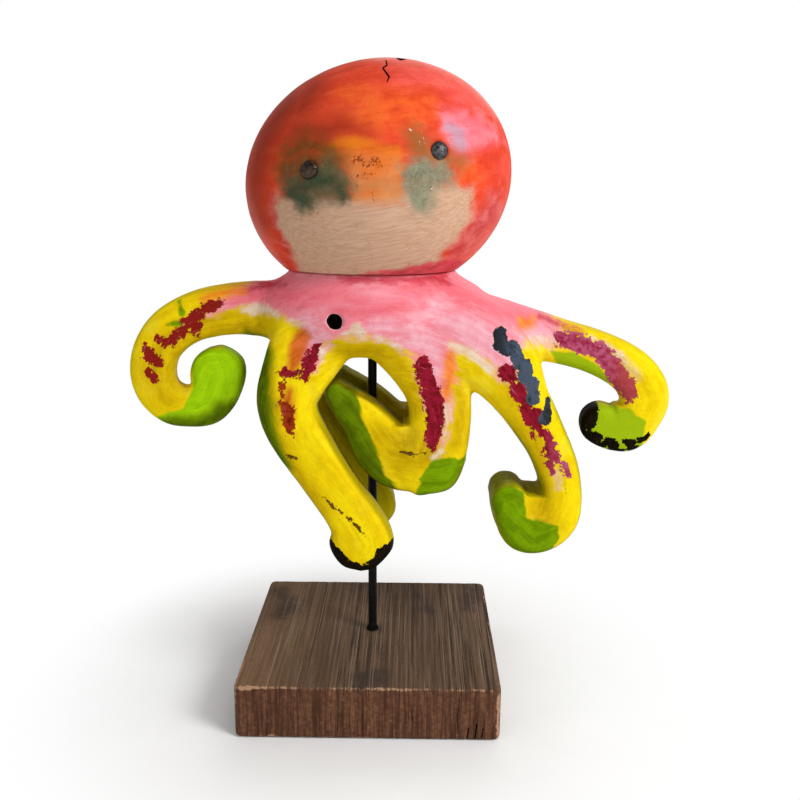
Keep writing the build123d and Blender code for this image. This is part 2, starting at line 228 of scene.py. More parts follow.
LEAF = (
    ((-81, 178.2, 1.1), (-80.1, 173.7, 1.3)),
    ((-86.6, 169, 0.8), (-80.7, 169.9, 1.3)),
    ((22.4, 107.4), (26, 113.7), (32.5, 115.5), (37.7, 114.2), (42, 116), (46, 107.7), (36, 90),
     (18.8, 95.5)),
    ((47, 98.7), (53, 104), (61.5, 102.6), (66.1, 99.4), (67.4, 88.6), (74.1, 87.1), (80.8, 84.9),
     (81.4, 79.3), (78.5, 72), (75, 66), (62, 64), (48, 80)),
)
# Dark green on the far left arm's lower curl and along the front left arm's left edge: partly green paint,
# partly painted shade
GREEN_AND_SHADE = (
    ((-92, 127.1), (-84.7, 129.2), (-76.2, 128.6), (-70.1, 130.8), (-67.3, 135.3), (-56.8, 134.5),
     (-64, 118), (-86, 118)),
    ((-54, 168), (-44.7, 162.8), (-40.4, 160.2), (-40.5, 141.3), (-39.4, 127.2), (-35.6, 117.4),
     (-32.2, 110.9), (-38, 106), (-50, 124), (-54, 148)),
)
HOOK_GREEN = (
    ((-27, 149), (-14, 152), (-7.6, 146.5), (-5.2, 140.7), (-3.2, 132.2), (0.4, 123.3), (4.1, 114.4),
     (7, 106.8), (13, 98), (4, 96), (-8, 112.5), (-20, 129.1)),
)
BARE = (
    ((-54.4, 175.8, 1.5), (-48, 176.3, 2.1), (-41.2, 175.4, 1.7), (-37.4, 173.8, 0.8)),
    ((-32.2, 172.4, 0.8), (-28.7, 171.4, 1.2)),
    ((-9.5, 168, 1.2), (-5.3, 169.8, 2.9), (-2.9, 168.1, 1.6)),
    ((3.6, 166.5, 0.6), (9.3, 163.8, 1), (13.4, 161.1, 0.8)),
    ((-20.6, 161.4, 1), (-19.4, 156.4, 1.2)),
    ((33.2, 163.2, 1), (38.4, 161.7, 1.5), (43.1, 159.7, 1.2)),
    ((43.2, 158, 1.4), (49.9, 153.4, 1.7)),
    ((66.5, 164.8, 0.5), (74.1, 163.8, 0.7), (78.8, 163.2, 0.5)),
    ((93.5, 163.7, 1.1), (99.9, 161.3, 1.5), (105.6, 157.1, 1.5), (110.6, 150.6, 1.7), (115.4, 147.3, 1.3)),
    ((78.1, 109.7, 1.3), (79.9, 105.8, 2.3), (79.7, 102.2, 1.3)),
    ((31.1, 138.4, 1.3), (30.8, 131.6, 1.5), (30, 124.7, 0.8)),
    ((54, 183.6, 0.7), (62.5, 180.8, 0.9), (73.8, 177.0, 0.7)),
    ((26.4, 115, 1.3), (29.7, 116.8, 1.5)),
)
PINK = (
    ((-53.3, 185.7), (-43.9, 190.2), (-40, 199), (40, 200), (46, 190.5), (53, 186), (64, 182), (75, 176.5),
     (81.2, 168.5), (80.6, 161.4), (72.1, 163), (65.7, 164.6), (62.1, 163), (60, 158.9), (62.4, 150.6),
     (54.1, 148.8), (52.8, 153.8), (49, 157.2), (43.9, 161.4), (38.4, 162.4), (34, 163.6), (35.4, 156.1),
     (34.3, 143.6), (32, 131.6), (29.7, 120.8), (27.9, 127.2), (22.7, 142.2), (20.1, 151.9),
     (16.7, 157.8), (13.4, 161.1), (6.5, 165.1), (-1.3, 167.7), (-7.9, 166.6), (-12.9, 166.1),
     (-18, 164.2), (-19.8, 156.4), (-24, 151.4), (-29, 156.4), (-29.3, 162.5), (-26.3, 167.3),
     (-28.7, 170.5), (-35.2, 173.5), (-46.1, 176), (-54.3, 177.1), (-61.6, 175.4), (-68.4, 172),
     (-70, 174.1), (-65.7, 177.9), (-58.9, 181.3)),
)
SCUFF = (
    ((-34.7, 116.4, 0.6), (-30.8, 114.9, 0.6)),
    ((-19.5, 99.3, 0.5), (-14.9, 94.6, 0.7), (-11, 91.7, 0.6), (-7.2, 88.3, 0.8), (-4.3, 85.7, 0.6),
     (-0.5, 81.4, 0.3)),
    ((12.8, 117.2, 0.3), (18.7, 116.5, 0.5), (24.2, 117.1, 0.4)),
)
# Ochre, partly an ochre stain and partly painted shade; the last band, along the front left arm's left edge,
# is painted shade
OCHRE_AND_SHADE = (
    ((-48, 170, 6), (-68, 169, 8), (-84, 160, 8), (-92, 149, 8), (-88, 138, 6)),
    ((-12, 160, 4), (0, 161, 5), (11, 157, 5), (18, 148, 5), (20, 138, 5)),
    ((24, 118, 9), (13, 117, 9), (4, 124, 6)),
    ((37, 150, 3), (38, 135, 4), (36, 122, 5)),
    ((56, 150, 4), (63, 136, 4), (70, 122, 4), (74, 110, 3.5), (73, 98, 4), (74, 88, 6)),
    ((-40, 140, 2.5), (-38, 125, 2.5), (-29, 108, 3), (-19, 94, 3)),
)
ROSE = (
    ((-58, 181, 3), (-44, 182, 4), (-28, 182, 5), (-12, 186, 4)),
    ((-26, 181.6, 2.2), (-12.3, 184.4, 2.6), (-1.7, 180.6, 2.4)),
    ((-14, 178, 2.0), (0, 177, 3.4), (14, 180, 2.6)),
    ((14, 187, 2.6), (30, 185.6, 4.0), (42, 180, 3.6), (54, 175.5, 2.6)),
    ((52, 177, 2), (70, 171.5, 2)),
    ((24, 172, 1.6), (34, 168, 1.8)),
)
BLUSH = (
    ((28, 176, 5), (42, 168, 7), (54, 160, 6), (58, 153, 4)),
    ((4, 172, 3), (18, 168, 5), (27, 160, 4), (31, 150, 3)),
    ((-24, 172, 3), (-22, 164, 3)),
    ((64, 168, 2.8), (77, 166, 3.2)),
)
CRIMSON = (
    ((-12.4, 190.3, 0.5), (-1.8, 190.2, 1.4), (10, 190.0, 1.2), (20.4, 190.2, 1.7), (30.4, 190.8, 2.1)),
    ((25, 191, 1.2), (29.6, 189.6, 2.0), (33, 187.6, 1.0)),
    ((71.9, 173.3, 0.7), (78.7, 170.6, 0.9), (89.7, 166.6, 0.7)),
    ((-55.5, 183, 0.6), (-46.4, 185, 1.3), (-35.9, 186.8, 0.8)),
)
FIGURE_COATS = {
    "ochre_and_shade": OCHRE_AND_SHADE, "pink": PINK, "rose": ROSE, "blush": BLUSH, "crimson": CRIMSON, "bare": BARE,
    "orange": ORANGE, "rust": RUST, "lime": LIME, "leaf": LEAF, "green_and_shade": GREEN_AND_SHADE, "hook_green": HOOK_GREEN,
    "maroon": MAROON, "slate": SLATE, "black": BLACK, "scuff": SCUFF,
}

# Coats that go all round a piece, and coats that only the face has
ALL_ROUND = ("pink", "lime", "leaf", "green_and_shade", "hook_green", "black")
FACE = ("lavender", "peach", "amber", "ember", "bare", "umber", "teal", "deep_teal", "crust", "scratch",
        "peck", "crack")

# Brushwork on the head, and the drying crack and chip in its crown
HEAD_COATS = {
    # Darker red on the head's left side: partly darker red paint, partly painted shade
    "dark_red_and_shade": (
        ((-31.4, 260, 4.4), (-41, 247.1, 5.5), (-45.7, 235.7, 5.2), (-47.1, 222.6, 4.5), (-43.2, 212.4, 3.4)),
        ((-22.2, 264.6, 3.6), (-26.1, 257.2, 3.9)),
        ((-27.8, 248.6, 2.5), (-18.7, 247, 3.2), (-10.9, 248.9, 2.8), (-1, 248.9, 1.7)),
    ),
    "orange": (
        ((-11.4, 262.4, 2.1), (3, 258.6, 3.1), (16.9, 257.4, 3.2), (24, 260.5, 2.1)),
        ((-1.1, 253.7, 2.1), (11.4, 252.4, 2.8), (23.3, 254.7, 2.1)),
        ((35.5, 237.1, 1.8), (39.2, 232.3, 2.5), (35.7, 227.4, 1.4)),
        ((-34.4, 236.8, 0.9), (-35.6, 231.2, 1.1), (-34.9, 224.9, 0.9)),
    ),
    "coral": (((12.5, 269.9, 1.8), (25.5, 268.2, 3.6), (35.7, 262, 4.3), (43.9, 258.2, 3.7)),),
    "pink": (((28.2, 255.6), (34.8, 257.4), (43, 254.4), (51, 250), (53.5, 244.3), (47.5, 242.7),
              (40.6, 240.3), (37.7, 237.1), (33.3, 238.4), (30.4, 246.6)),),
    "lavender": (((31.5, 249.4, 2.2), (34.7, 246.7, 3.2), (35.8, 242.6, 2.9)),),
    "blood": (((44.4, 239.4, 1.9), (50.8, 237.5, 3.2), (52.6, 230.4, 2.7)),),
    "crimson": (
        ((51.2, 224.6, 2.2), (49.3, 217.3, 4.5), (42.5, 209.4, 5.2), (35.2, 202, 4.5)),
        ((-36.7, 222.1, 1.2), (-36.1, 213.5, 1.5), (-33.6, 205.4, 1.6), (-31.4, 197.8, 1.5)),
    ),
    "peach": (((-17.1, 239.4), (-7.9, 241.5), (-0.8, 240), (11.6, 240.8), (13.8, 235.4), (15, 227.3),
               (16, 219.4), (3.3, 217.7), (-7.1, 217.7), (-7, 228.5), (-9.8, 235.3)),),
    "amber": (
        ((-17.1, 240.7, 1), (-10.7, 242.1, 2.2), (-3.7, 242.7, 2.1), (1.9, 240.7, 1.2)),
        ((3.3, 240.7, 1.1), (11.6, 240.8, 1.2)),
    ),
    "ember": (
        ((-0.8, 231.9, 1.1), (1.9, 231.3, 1.5), (5.4, 235.3, 1.7)),
        ((-1.6, 224.5, 1.1), (3.3, 225.2, 1)),
    ),
    "bare": (((-35.6, 223.5), (-31, 223.5), (-20, 223), (-8, 223), (-5.1, 221), (3.3, 220.3),
              (13.1, 221.1), (14.8, 226.6), (32.8, 227.3), (40.9, 227), (41.1, 220.4), (39.9, 213.2),
              (34.9, 207.4), (30.6, 202.3), (28.5, 196.1), (28, 188), (-26, 188), (-29.5, 193.9),
              (-32.4, 201.7), (-35.5, 210.6), (-36.9, 218.5)),),
    "umber": (
        ((-30.2, 238.6, 3.6), (-24.4, 242.6, 4.2), (-17.6, 241.0, 4.0), (-10.6, 236.6, 3.6)),
        ((-31.6, 232.6, 4.8), (-22.3, 235.0, 6.4), (-13.6, 235.2, 5.2)),
        ((17.0, 246.8, 2.6), (20.0, 243.0, 4.6), (21.6, 238.4, 5.2), (28.0, 236.8, 4.0), (36.0, 236.4, 3.0)),
    ),
    "teal": (
        ((-34.0, 228.8), (-31.0, 232.4), (-26.6, 233.6), (-20.8, 234.4), (-15, 237.2), (-8.4, 234.0),
         (-5.2, 228.8), (-5.5, 222.4), (-10.1, 220.3), (-16.5, 220.9), (-21, 218.8), (-25.6, 216.6),
         (-29.2, 220.8), (-32.6, 222.8)),
        ((14.4, 236.0), (20.6, 237.0), (27.6, 235.8), (33.4, 232.5), (33.2, 227.4), (25.7, 225.3),
         (25.7, 220.4), (22.9, 216.3), (17.3, 217.7), (15.1, 222.5), (14.1, 228.6)),
    ),
    "deep_teal": (
        ((-31.4, 224.3, 1.3), (-26.8, 222.2, 2.8), (-23.2, 220.2, 1.8)),
        ((-29.9, 225, 1), (-20.7, 228.5, 2.1), (-13.5, 229.2, 2.1)),
        ((-10.7, 225.8, 1.7), (-8.6, 223.1, 1.7)),
        ((15.1, 232, 1), (17.2, 232.7, 1.5), (25.5, 232.8, 1.1)),
        ((15.8, 226.6, 1), (17.2, 224.6, 1.1)),
    ),
    "crust": (
        ((-5, 236, 0.7), (-2.9, 237.3, 1.4), (-1.5, 235.3, 1.1)),
        ((0.5, 234.6, 1), (3.3, 236.7, 1.5), (4.7, 234.7, 1)),
        ((-5, 229.9, 0.4), (1.9, 231.9, 0.8)),
    ),
    "scratch": (
        ((18.8, 246.3, 0.05), (20.2, 242.2, 0.15)),
        ((20.5, 247, 0.05), (22.3, 241.9, 0.15)),
        ((15.9, 248.1, 0.3), (16.8, 247.6, 0.3)),
        ((17.1, 249.8, 0.1), (17.6, 249, 0.1)),
        ((24.4, 226.2, 0.2), (25.4, 226.9, 0.2)),
    ),
    "peck": (
        ((23.4, 226.3, 0.15), (24.5, 226.8, 0.25)),
        ((23.7, 225.1, 0.25), (25.2, 225.6, 0.1)),
        ((1.4, 211.5, 0.2), (2.2, 211.3, 0.15)),
        ((-20.8, 210.7, 0.05), (-20.1, 210.6, 0.05)),
    ),
    "collar": (
        ((-8, 190.6, 0.4), (2.7, 191.8, 1.4), (13, 192.9, 2.2), (22.6, 193.8, 2.8), (28.7, 194.6, 3.2),
         (36, 195, 2.4)),
    ),
}
CRACK = (((6.2, 276.0, 0.2), (6.7, 273.6, 0.3), (5.2, 272.2, 0.3), (6.5, 270.3, 0.35), (7.8, 268.5, 0.35),
          (7.1, 266.3, 0.15)),)
CHIP = (((10.6, 277.6, 0.5), (12.0, 276.9, 0.8), (13.6, 277.2, 0.4)),)
HEAD_COATS["crack"] = CRACK + CHIP

# Crown in which cracks open, places of the nail eyes, and tilt of the head's brush strokes in degrees
CROWN_LOW = 262.0
CROWN_BACK = 4.0
EYES = ((-22.5, -39.2, 232.4), (27.8, -39.4, 240.7))
EYE_SOCKET = 5.5
BRUSH_TILT = 10.0

# Cracks and splits: depth, border of finer faces, cuts in it, run of the slope
CRACK_DEPTH = 0.9
SPLIT_DEPTH = 0.8
CRACK_BORDER = 2.0
CRACK_CUTS = 3
CRACK_SLOPE = 0.2

# Rod: inset and height of its foot's rings, inset of its top, skin, and run of paint at the block
ROD_FOOT = ((0.3, 0.0), (0.02, 0.4))
ROD_TOP_INSET = 0.4
ROD_SKIN_ENDS = (1.0, 0.6)
ROD_RINGS = 90
ROD_SIDES = 32
ROD_DIP = 0.05
ROD_WAVE = 0.21
FOOT_RUN = 0.9
FOOT_SPREAD = 0.9
FOOT_ABOVE = 0.4

# Wear of the block: stains seen from above, and splits in its front
STAINS = (
    ((-50, 43, 4), (-42, 24, 6), (-45, 12, 4)),
    ((-5, -47, 3.5), (3, -46, 5), (-2, -53, 4)),
    ((50, 47, 5), (46, 24, 4)),
    ((3, -3, 2), (1, 5, 3)),
    ((22, 38, 3), (27, 20, 3.5)),
)
SPLITS = (
    ((42.5, 5.9, 0.25), (41.9, 0.8, 0.3)),
    ((45.9, 7.6, 0.3), (45.3, 1.3, 0.35)),
    ((48.6, 6.0, 0.2), (48.0, 1.4, 0.3)),
    ((38.5, 20.1, 0.12), (37.9, 11.7, 0.2), (38.1, 3.0, 0.1)),
    ((18.1, 16.4, 0.1), (19.0, 8.9, 0.18)),
    ((-12.0, 12.0, 0.1), (-12.4, 4.0, 0.15)),
)
BLOCK_SANDING = 1
GROOVE_DEPTH = 0.22
GROOVE_RUN = (0.35, 0.02, 0.03)
SPLIT_SIDE = 1.2
SPLIT_PAINT_SIDE = 2.0
FRONT_WEAR = 1.6
CORNER_WEAR = 3.0
FAINT_WEAR = 2.5
FAINT_SHARE = 0.6

# How paint lies: limits of its reach, how it wanders and fades behind, and how it draws back from the sides
REACH = 15.0
NO_LIMIT = 99.0
NO_HOLE = -9.0
BACK_RUN = 16.0
WANDER = 3.0
WANDER_X = 11.0
WANDER_Z = 9.0
SIDE_PULL = 7.0
SIDE_FROM = 0.15

# The mantle's brush strokes fan out from a point below it
FAN_X = 5.0
FAN_Z = 100.0
FAN_SPREAD = 60.0

# Where the brush left a coat off, and how far olive covers the sawn edges and the shaded twins, partly as
# olive glaze and partly as painted shade
LEFT_OFF = {("black", "back_left_arm"), ("slate", "back_right_arm")}
KEPT_TO = {"hook_green": ("front_centre_hook", "back_centre_hook")}
GLAZE_RUN = 14.0
SAWN_EDGE = 0.75
SAWN_SOFT = 0.35
SHADED_SIDE = 0.3
CROOK_GLAZE = 9.0
CROOK_FADE = 6.0
# Walls that lie in shadow, which get the darker olive as painted shade
SHADE_DARKENED_WALLS = ("front_left_arm", "front_centre_arm", "front_centre_hook")
WALLS = {
    "far_left_arm": 0.15, "far_right_arm": 0.2, "front_left_arm": 0.6, "front_centre_arm": 0.3,
    "front_centre_hook": 0.9, "front_right_arm": 0.9, "back_left_arm": 0.8, "back_centre_arm": 0.8,
    "back_centre_hook": 0.9, "back_right_arm": 0.8,
}
# The back twins' faces that lie in shadow get olive as painted shade
SHADED = {"back_left_arm": 0.7, "back_centre_arm": 0.7, "back_centre_hook": 0.75, "back_right_arm": 0.7}


def finished(name, bm, body, slot, *nodes):
    """A mesh object made from bm, riding on a body and standing for CAD nodes."""
    mesh = bpy.data.meshes.new(name)
    bm.to_mesh(mesh)
    bm.free()
    mesh.shade_smooth()
    mesh.set_sharp_from_angle(angle=math.radians(SHARP_ANGLE))
    piece = bpy.data.objects.new(name, mesh)
    bpy.context.scene.collection.objects.link(piece)
    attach(piece, body)
    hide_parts(*nodes)
    return piece


def merged_copy(*names):
    """Copies of CAD nodes in one bmesh, with their loose triangles joined."""
    bm = bmesh.new()
    for name in names:
        bm.from_mesh(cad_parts[name].data)
    bmesh.ops.remove_doubles(bm, verts=bm.verts, dist=MERGE)
    return bm


def even_skin(bm, size):
    """The same form as a skin of small even faces."""
    rough = bpy.data.meshes.new("rough")
    bm.to_mesh(rough)
    bm.free()
    holder = bpy.data.objects.new("rough", rough)
    bpy.context.scene.collection.objects.link(holder)
    skin = holder.modifiers.new("skin", "REMESH")
    skin.mode = "VOXEL"
    skin.voxel_size = size * MM
    graph = bpy.context.evaluated_depsgraph_get()
    even = bpy.data.meshes.new_from_object(holder.evaluated_get(graph))
    bpy.data.objects.remove(holder)
    bpy.data.meshes.remove(rough)
    bm = bmesh.new()
    bm.from_mesh(even)
    bpy.data.meshes.remove(even)
    return bm


def sanded(bm, verts, rounds):
    """Smooths verts, as sanding does."""
    for _ in range(rounds):
        bmesh.ops.smooth_vert(bm, verts=verts, factor=0.5, use_axis_x=True, use_axis_y=True, use_axis_z=True)


def near_any(verts, places, reach):
    """The verts within reach of any of the places."""
    centres = [Vector(place) for place in places]
    return [v for v in verts if min((v.co / MM - at).length for at in centres) < reach]


def whittled(bm, depth, size):
    """Sinks the skin a little here and there, as knife work leaves it."""
    bm.normal_update()
    moves = []
    for v in bm.verts:
        cut = 0.5 + 0.5 * noise.noise(v.co / (size * MM))
        cut += FINE_MARKS * noise.noise(v.co / (FINE_SIZE * size * MM))
        moves.append(v.normal * (-depth * MM * max(0.0, cut)))
    for v, move in zip(bm.verts, moves):
        v.co += move


def seam(bm, place, heading, wanted):
    """Cuts the skin along a plane among the wanted faces and marks the cut."""
    faces = [f for f in bm.faces if wanted(f.calc_center_median() / MM)]
    edges = {e for f in faces for e in f.edges}
    verts = {v for f in faces for v in f.verts}
    made = bmesh.ops.bisect_plane(bm, geom=faces + list(edges) + list(verts), dist=CUT_SNAP,
                                  plane_co=Vector(place) * MM, plane_no=Vector(heading))
    for part in made["geom_cut"]:
        if isinstance(part, bmesh.types.BMEdge):
            part.seam = True


def flood(bm, layer, start, mark):
    """Marks the faces round a point, as far as the seams."""
    target = Vector(start) * MM
    blank = (f for f in bm.faces if f[layer] == 0)
    first = min(blank, key=lambda f: (f.calc_center_median() - target).length)
    first[layer] = mark
    stack = [first]
    while stack:
        for e in stack.pop().edges:
            if e.seam:
                continue
            for f in e.link_faces:
                if f[layer] == 0:
                    f[layer] = mark
                    stack.append(f)


def parted(bm, mark):
    """The faces with one mark as a closed bmesh of their own."""
    own = bm.copy()
    layer = own.faces.layers.int["piece"]
    bmesh.ops.delete(own, geom=[f for f in own.faces if f[layer] != mark], context="FACES")
    filled = bmesh.ops.holes_fill(own, edges=[e for e in own.edges if e.is_boundary], sides=0)
    bmesh.ops.triangulate(own, faces=filled["faces"])
    bmesh.ops.recalc_face_normals(own, faces=own.faces)
    return own


def on_twin(y):
    """A test for points on the same side of the twins' split as y."""
    return (lambda c: c.y > TWIN_SPLIT) if y > TWIN_SPLIT else (lambda c: c.y < TWIN_SPLIT)


def joined(bm, other):
    """Adds another bmesh to bm."""
    mesh = bpy.data.meshes.new("added")
    other.to_mesh(mesh)
    other.free()
    bm.from_mesh(mesh)
    bpy.data.meshes.remove(mesh)


def lifted(bm):
    """A hook with fuller upper edges, its end bent over until it rests against the arm beside it."""
    bm.normal_update()
    up = Vector(HOOK_TOP)
    moves = [up * (HOOK_LIFT * MM * max(0.0, v.normal.dot(up))) for v in bm.verts]
    start, end = HOOK_REACH_FROM
    for v, move in zip(bm.verts, moves):
        share = min(1.0, max(0.0, (v.co.z / MM - start) / (end - start)))
        v.co += move
        v.co.x -= HOOK_REACH * MM * share * share
    return bm


def shortened(bm):
    """A hook without its free end, so that the skin doesn't close over the gap beside it."""
    parts = list(bm.verts) + list(bm.edges) + list(bm.faces)
    made = bmesh.ops.bisect_plane(bm, geom=parts, dist=CUT_SNAP, plane_co=(0, 0, HOOK_SHORT * MM),
                                  plane_no=(0, 0, 1), clear_outer=True)
    rim = [e for e in made["geom_cut"] if isinstance(e, bmesh.types.BMEdge)]
    bmesh.ops.holes_fill(bm, edges=rim, sides=0)
    return bm


def with_crooks(bm, crooks):
    """Adds the wood that was left standing in the crooks."""
    for x, y, z, radius, length in crooks:
        place = Matrix.Translation(Vector((x, y, z)) * MM) @ Matrix.Rotation(math.radians(90), 4, "X")
        bmesh.ops.create_cone(bm, cap_ends=True, segments=40, radius1=radius * MM, radius2=radius * MM,
                              depth=length * MM, matrix=place)


def root_fill(centre):
    """Wood that fills the notch between the skirt and the root of a stub."""
    bm = merged_copy("mantle")
    far = [v for v in bm.verts if (v.co / MM - centre).length > STUB_ROOT_REACH or v.co.z < STUB_ROOT_LOW * MM
           or v.co.y * centre.y < 0]
    bmesh.ops.delete(bm, geom=far, context="VERTS")
    bmesh.ops.delete(bm, geom=bm.edges[:], context="EDGES_FACES")
    made = bmesh.ops.convex_hull(bm, input=bm.verts)
    spare = {v for v in made["geom_interior"] + made["geom_unused"] if isinstance(v, bmesh.types.BMVert)}
    bmesh.ops.delete(bm, geom=list(spare), context="VERTS")
    return bm


def step_seams(bm):
    """Marks the step joints between the hooks and their arms."""
    corner = (STEP_X, 0, STEP_Z)
    for y in (-1.0, 2.0 * TWIN_SPLIT):
        side = on_twin(y)
        seam(bm, corner, (0, 0, 1), lambda c: side(c) and abs(c.z - STEP_Z) < STEP_BAND
             and STEP_X - STEP_OVERLAP < c.x < STEP_END_X)
        seam(bm, corner, (1, 0, 0), lambda c: side(c) and abs(c.x - STEP_X) < STEP_BAND
             and STEP_Z - STEP_OVERLAP < c.z < STEP_Z + STEP_HEIGHT)


def marked(bm, starts):
    """Numbers the pieces between the seams on a face layer, from a point on each."""
    layer = bm.faces.layers.int.new("piece")
    for mark, start in enumerate(starts.values(), 1):
        flood(bm, layer, start, mark)


def carve_hooks():
    """The hooks, carved together with the arms that they are glued to."""
    rough = merged_copy("front_centre_arm", "back_centre_arm")
    for hook in HOOKS:
        joined(rough, lifted(merged_copy(hook)))
    with_crooks(rough, HOOK_CROOKS)
    bm = even_skin(rough, SKIN)
    sanded(bm, bm.verts, SANDING)
    whittled(bm, *WHITTLING)
    step_seams(bm)
    marked(bm, HOOKS)
    pieces = {name: finished("carved_" + name, parted(bm, mark), "figure", "yellow_painted_wood", name)
              for mark, name in enumerate(HOOKS, 1)}
    bm.free()
    return pieces


def carve_figure():
    """The mantle and arms, carved as one form and parted again at the glue joints."""
    rough = merged_copy("mantle", *ARMS)
    for hook in HOOKS:
        joined(rough, shortened(lifted(merged_copy(hook))))
    with_crooks(rough, CROOKS + HOOK_CROOKS)
    for root in STUB_ROOTS:
        joined(rough, root_fill(Vector(root)))
    bm = even_skin(rough, SKIN)
    free = [v for v in bm.verts if v.co.z < (NECK - NECK_FREE) * MM]
    sanded(bm, free, SANDING)
    hub = [v for v in free if v.co.z > HUB_LOW * MM and abs(v.co.x - HUB_X * MM) < HUB_REACH * MM]
    siphon = set(near_any(hub, [SIPHON], SIPHON_CLEAR))
    sanded(bm, [v for v in hub if v not in siphon], HUB_SANDING)
    sanded(bm, near_any(free, STUB_ROOTS, STUB_ROOT_REACH), ROOT_SANDING)
    sanded(bm, near_any(free, SHOULDERS, SHOULDER_REACH), ROOT_SANDING)
    whittled(bm, *WHITTLING)
    for place, heading, reach, _ in ARMS.values():
        centre = Vector(place)
        side = on_twin(place[1]) if abs(place[1]) > SIDE_ARM_Y else (lambda c: True)
        seam(bm, place, heading, lambda c: (c - centre).length < reach and side(c))
    step_seams(bm)
    marked(bm, {**{name: arm[3] for name, arm in ARMS.items()}, **HOOK_MIDDLES})
    pieces = {name: finished("carved_" + name, parted(bm, mark), "figure", "yellow_painted_wood", name)
              for mark, name in enumerate(ARMS, 1)}
    pieces["mantle"] = finished("carved_mantle", parted(bm, 0), "figure", "pink_painted_wood", "mantle")
    bm.free()
    return pieces


def opened(bm, lines, depth, within):
    """Opens cracks along lines of x and z in the faces that lie within a region."""
    def reach(co):
        return float(inside_of(np.array([co.x / MM]), np.array([co.z / MM]), lines)[0])

    def wanted(face):
        middle = face.calc_center_median()
        return within(middle / MM) and reach(middle) > -CRACK_BORDER

    edges = {e for f in bm.faces if wanted(f) for e in f.edges}
    bmesh.ops.subdivide_edges(bm, edges=list(edges), cuts=CRACK_CUTS, use_grid_fill=True)
    bm.normal_update()
    moves = [(v, v.normal.copy(), reach(v.co)) for v in bm.verts if within(v.co / MM)]
    for v, normal, inside in moves:
        if inside > 0:
            v.co -= normal * (depth * MM * min(1.0, inside / CRACK_SLOPE))


def carve_head():
    """The head, with the drying crack in its crown."""
    bm = even_skin(merged_copy("head"), HEAD_SKIN)
    free = [v for v in bm.verts if v.co.z > (NECK + NECK_FREE) * MM]
    eyes = near_any(free, EYES, EYE_SOCKET)
    near = set(eyes)
    sanded(bm, [v for v in free if v not in near], HEAD_SANDING)
    sanded(bm, eyes, 1)
    whittled(bm, *HEAD_WHITTLING)
    opened(bm, CRACK + CHIP, CRACK_DEPTH, lambda c: c.z > CROWN_LOW and c.y < CROWN_BACK)
    return finished("carved_head", bm, "figure", "red_painted_wood", "head")


def hammered_nail(node):
    """An eye nail with hammer dents on its head."""
    bm = even_skin(merged_copy(node), NAIL_SKIN)
    sanded(bm, bm.verts, NAIL_SANDING)
    whittled(bm, *NAIL_DENTS)
    return finished("hammered_" + node, bm, "figure", "iron_nail", node)


def drawn_rod():
    """The rod, a little uneven under its black paint, with a run of paint round its foot."""
    low, high = (np.array(c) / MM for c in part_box("stand_rod"))
    radius = (high[0] - low[0]) / 2
    rings = [(0.0, low[2])] + [(radius - inset, low[2] + height) for inset, height in ROD_FOOT]
    above, below = ROD_SKIN_ENDS
    run_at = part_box("base_block")[1][2] / MM + FOOT_ABOVE
    for z in np.linspace(low[2] + above, high[2] - below, ROD_RINGS):
        dip = ROD_DIP + ROD_DIP * noise.noise(Vector((0.0, 0.0, z * ROD_WAVE)))
        foot = FOOT_RUN * math.exp(-((z - run_at) / FOOT_SPREAD) ** 2)
        rings.append((radius - dip + foot, z))
    rings += [(radius - ROD_TOP_INSET, high[2]), (0.0, high[2])]
    bm = bmesh.new()
    verts = [bm.verts.new((r * MM, 0, z * MM)) for r, z in rings]
    edges = [bm.edges.new(pair) for pair in zip(verts, verts[1:])]
    bmesh.ops.spin(bm, geom=verts + edges, axis=(0, 0, 1), cent=(0, 0, 0), steps=ROD_SIDES, angle=math.tau,
                   use_merge=True)
    bmesh.ops.remove_doubles(bm, verts=bm.verts, dist=MERGE)
    bmesh.ops.recalc_face_normals(bm, faces=bm.faces)
    return finished("drawn_rod", bm, "stand", "black_rod", "stand_rod")


def band(x, z, stations):
    """How far each point lies inside a brush stroke."""
    best = np.full(len(x), -99.0)
    for (x0, z0, r0), (x1, z1, r1) in zip(stations, stations[1:]):
        dx, dz = x1 - x0, z1 - z0
        t = np.clip(((x - x0) * dx + (z - z0) * dz) / (dx * dx + dz * dz), 0, 1)
        best = np.maximum(best, r0 + t * (r1 - r0) - np.hypot(x - x0 - t * dx, z - z0 - t * dz))
    return best


def patch(x, z, corners):
    """How far each point lies inside an outline."""
    inside = np.zeros(len(x), bool)
    edge = np.full(len(x), 99.0)
    for (x0, z0), (x1, z1) in zip(corners, corners[1:] + corners[:1]):
        dx, dz = x1 - x0, z1 - z0
        t = np.clip(((x - x0) * dx + (z - z0) * dz) / (dx * dx + dz * dz), 0, 1)
        edge = np.minimum(edge, np.hypot(x - x0 - t * dx, z - z0 - t * dz))
        if dz:
            inside ^= ((z0 > z) != (z1 > z)) & (x < x0 + dx * (z - z0) / dz)
    return np.where(inside, edge, -edge)


def inside_of(x, z, shapes):
    """How far each point lies inside any of the shapes."""
    reach = [band(x, z, s) if len(s[0]) == 3 else patch(x, z, s) for s in shapes]
    return np.max(reach, axis=0)


def attribute(mesh, name, values, kind="FLOAT"):
    """Stores one value per vertex for the finishes to read."""
    field = "value" if kind == "FLOAT" else "vector"
    mesh.attributes.new(name, kind, "POINT").data.foreach_set(field, np.asarray(values, np.float32).ravel())


def points_of(mesh):
    """Places and normals of a mesh's vertices, in millimetres."""
    co = np.empty(len(mesh.vertices) * 3)
    mesh.vertices.foreach_get("co", co)
    normal = np.empty(len(mesh.vertices) * 3)
    mesh.vertices.foreach_get("normal", normal)
    return co.reshape(-1, 3) / MM, normal.reshape(-1, 3)


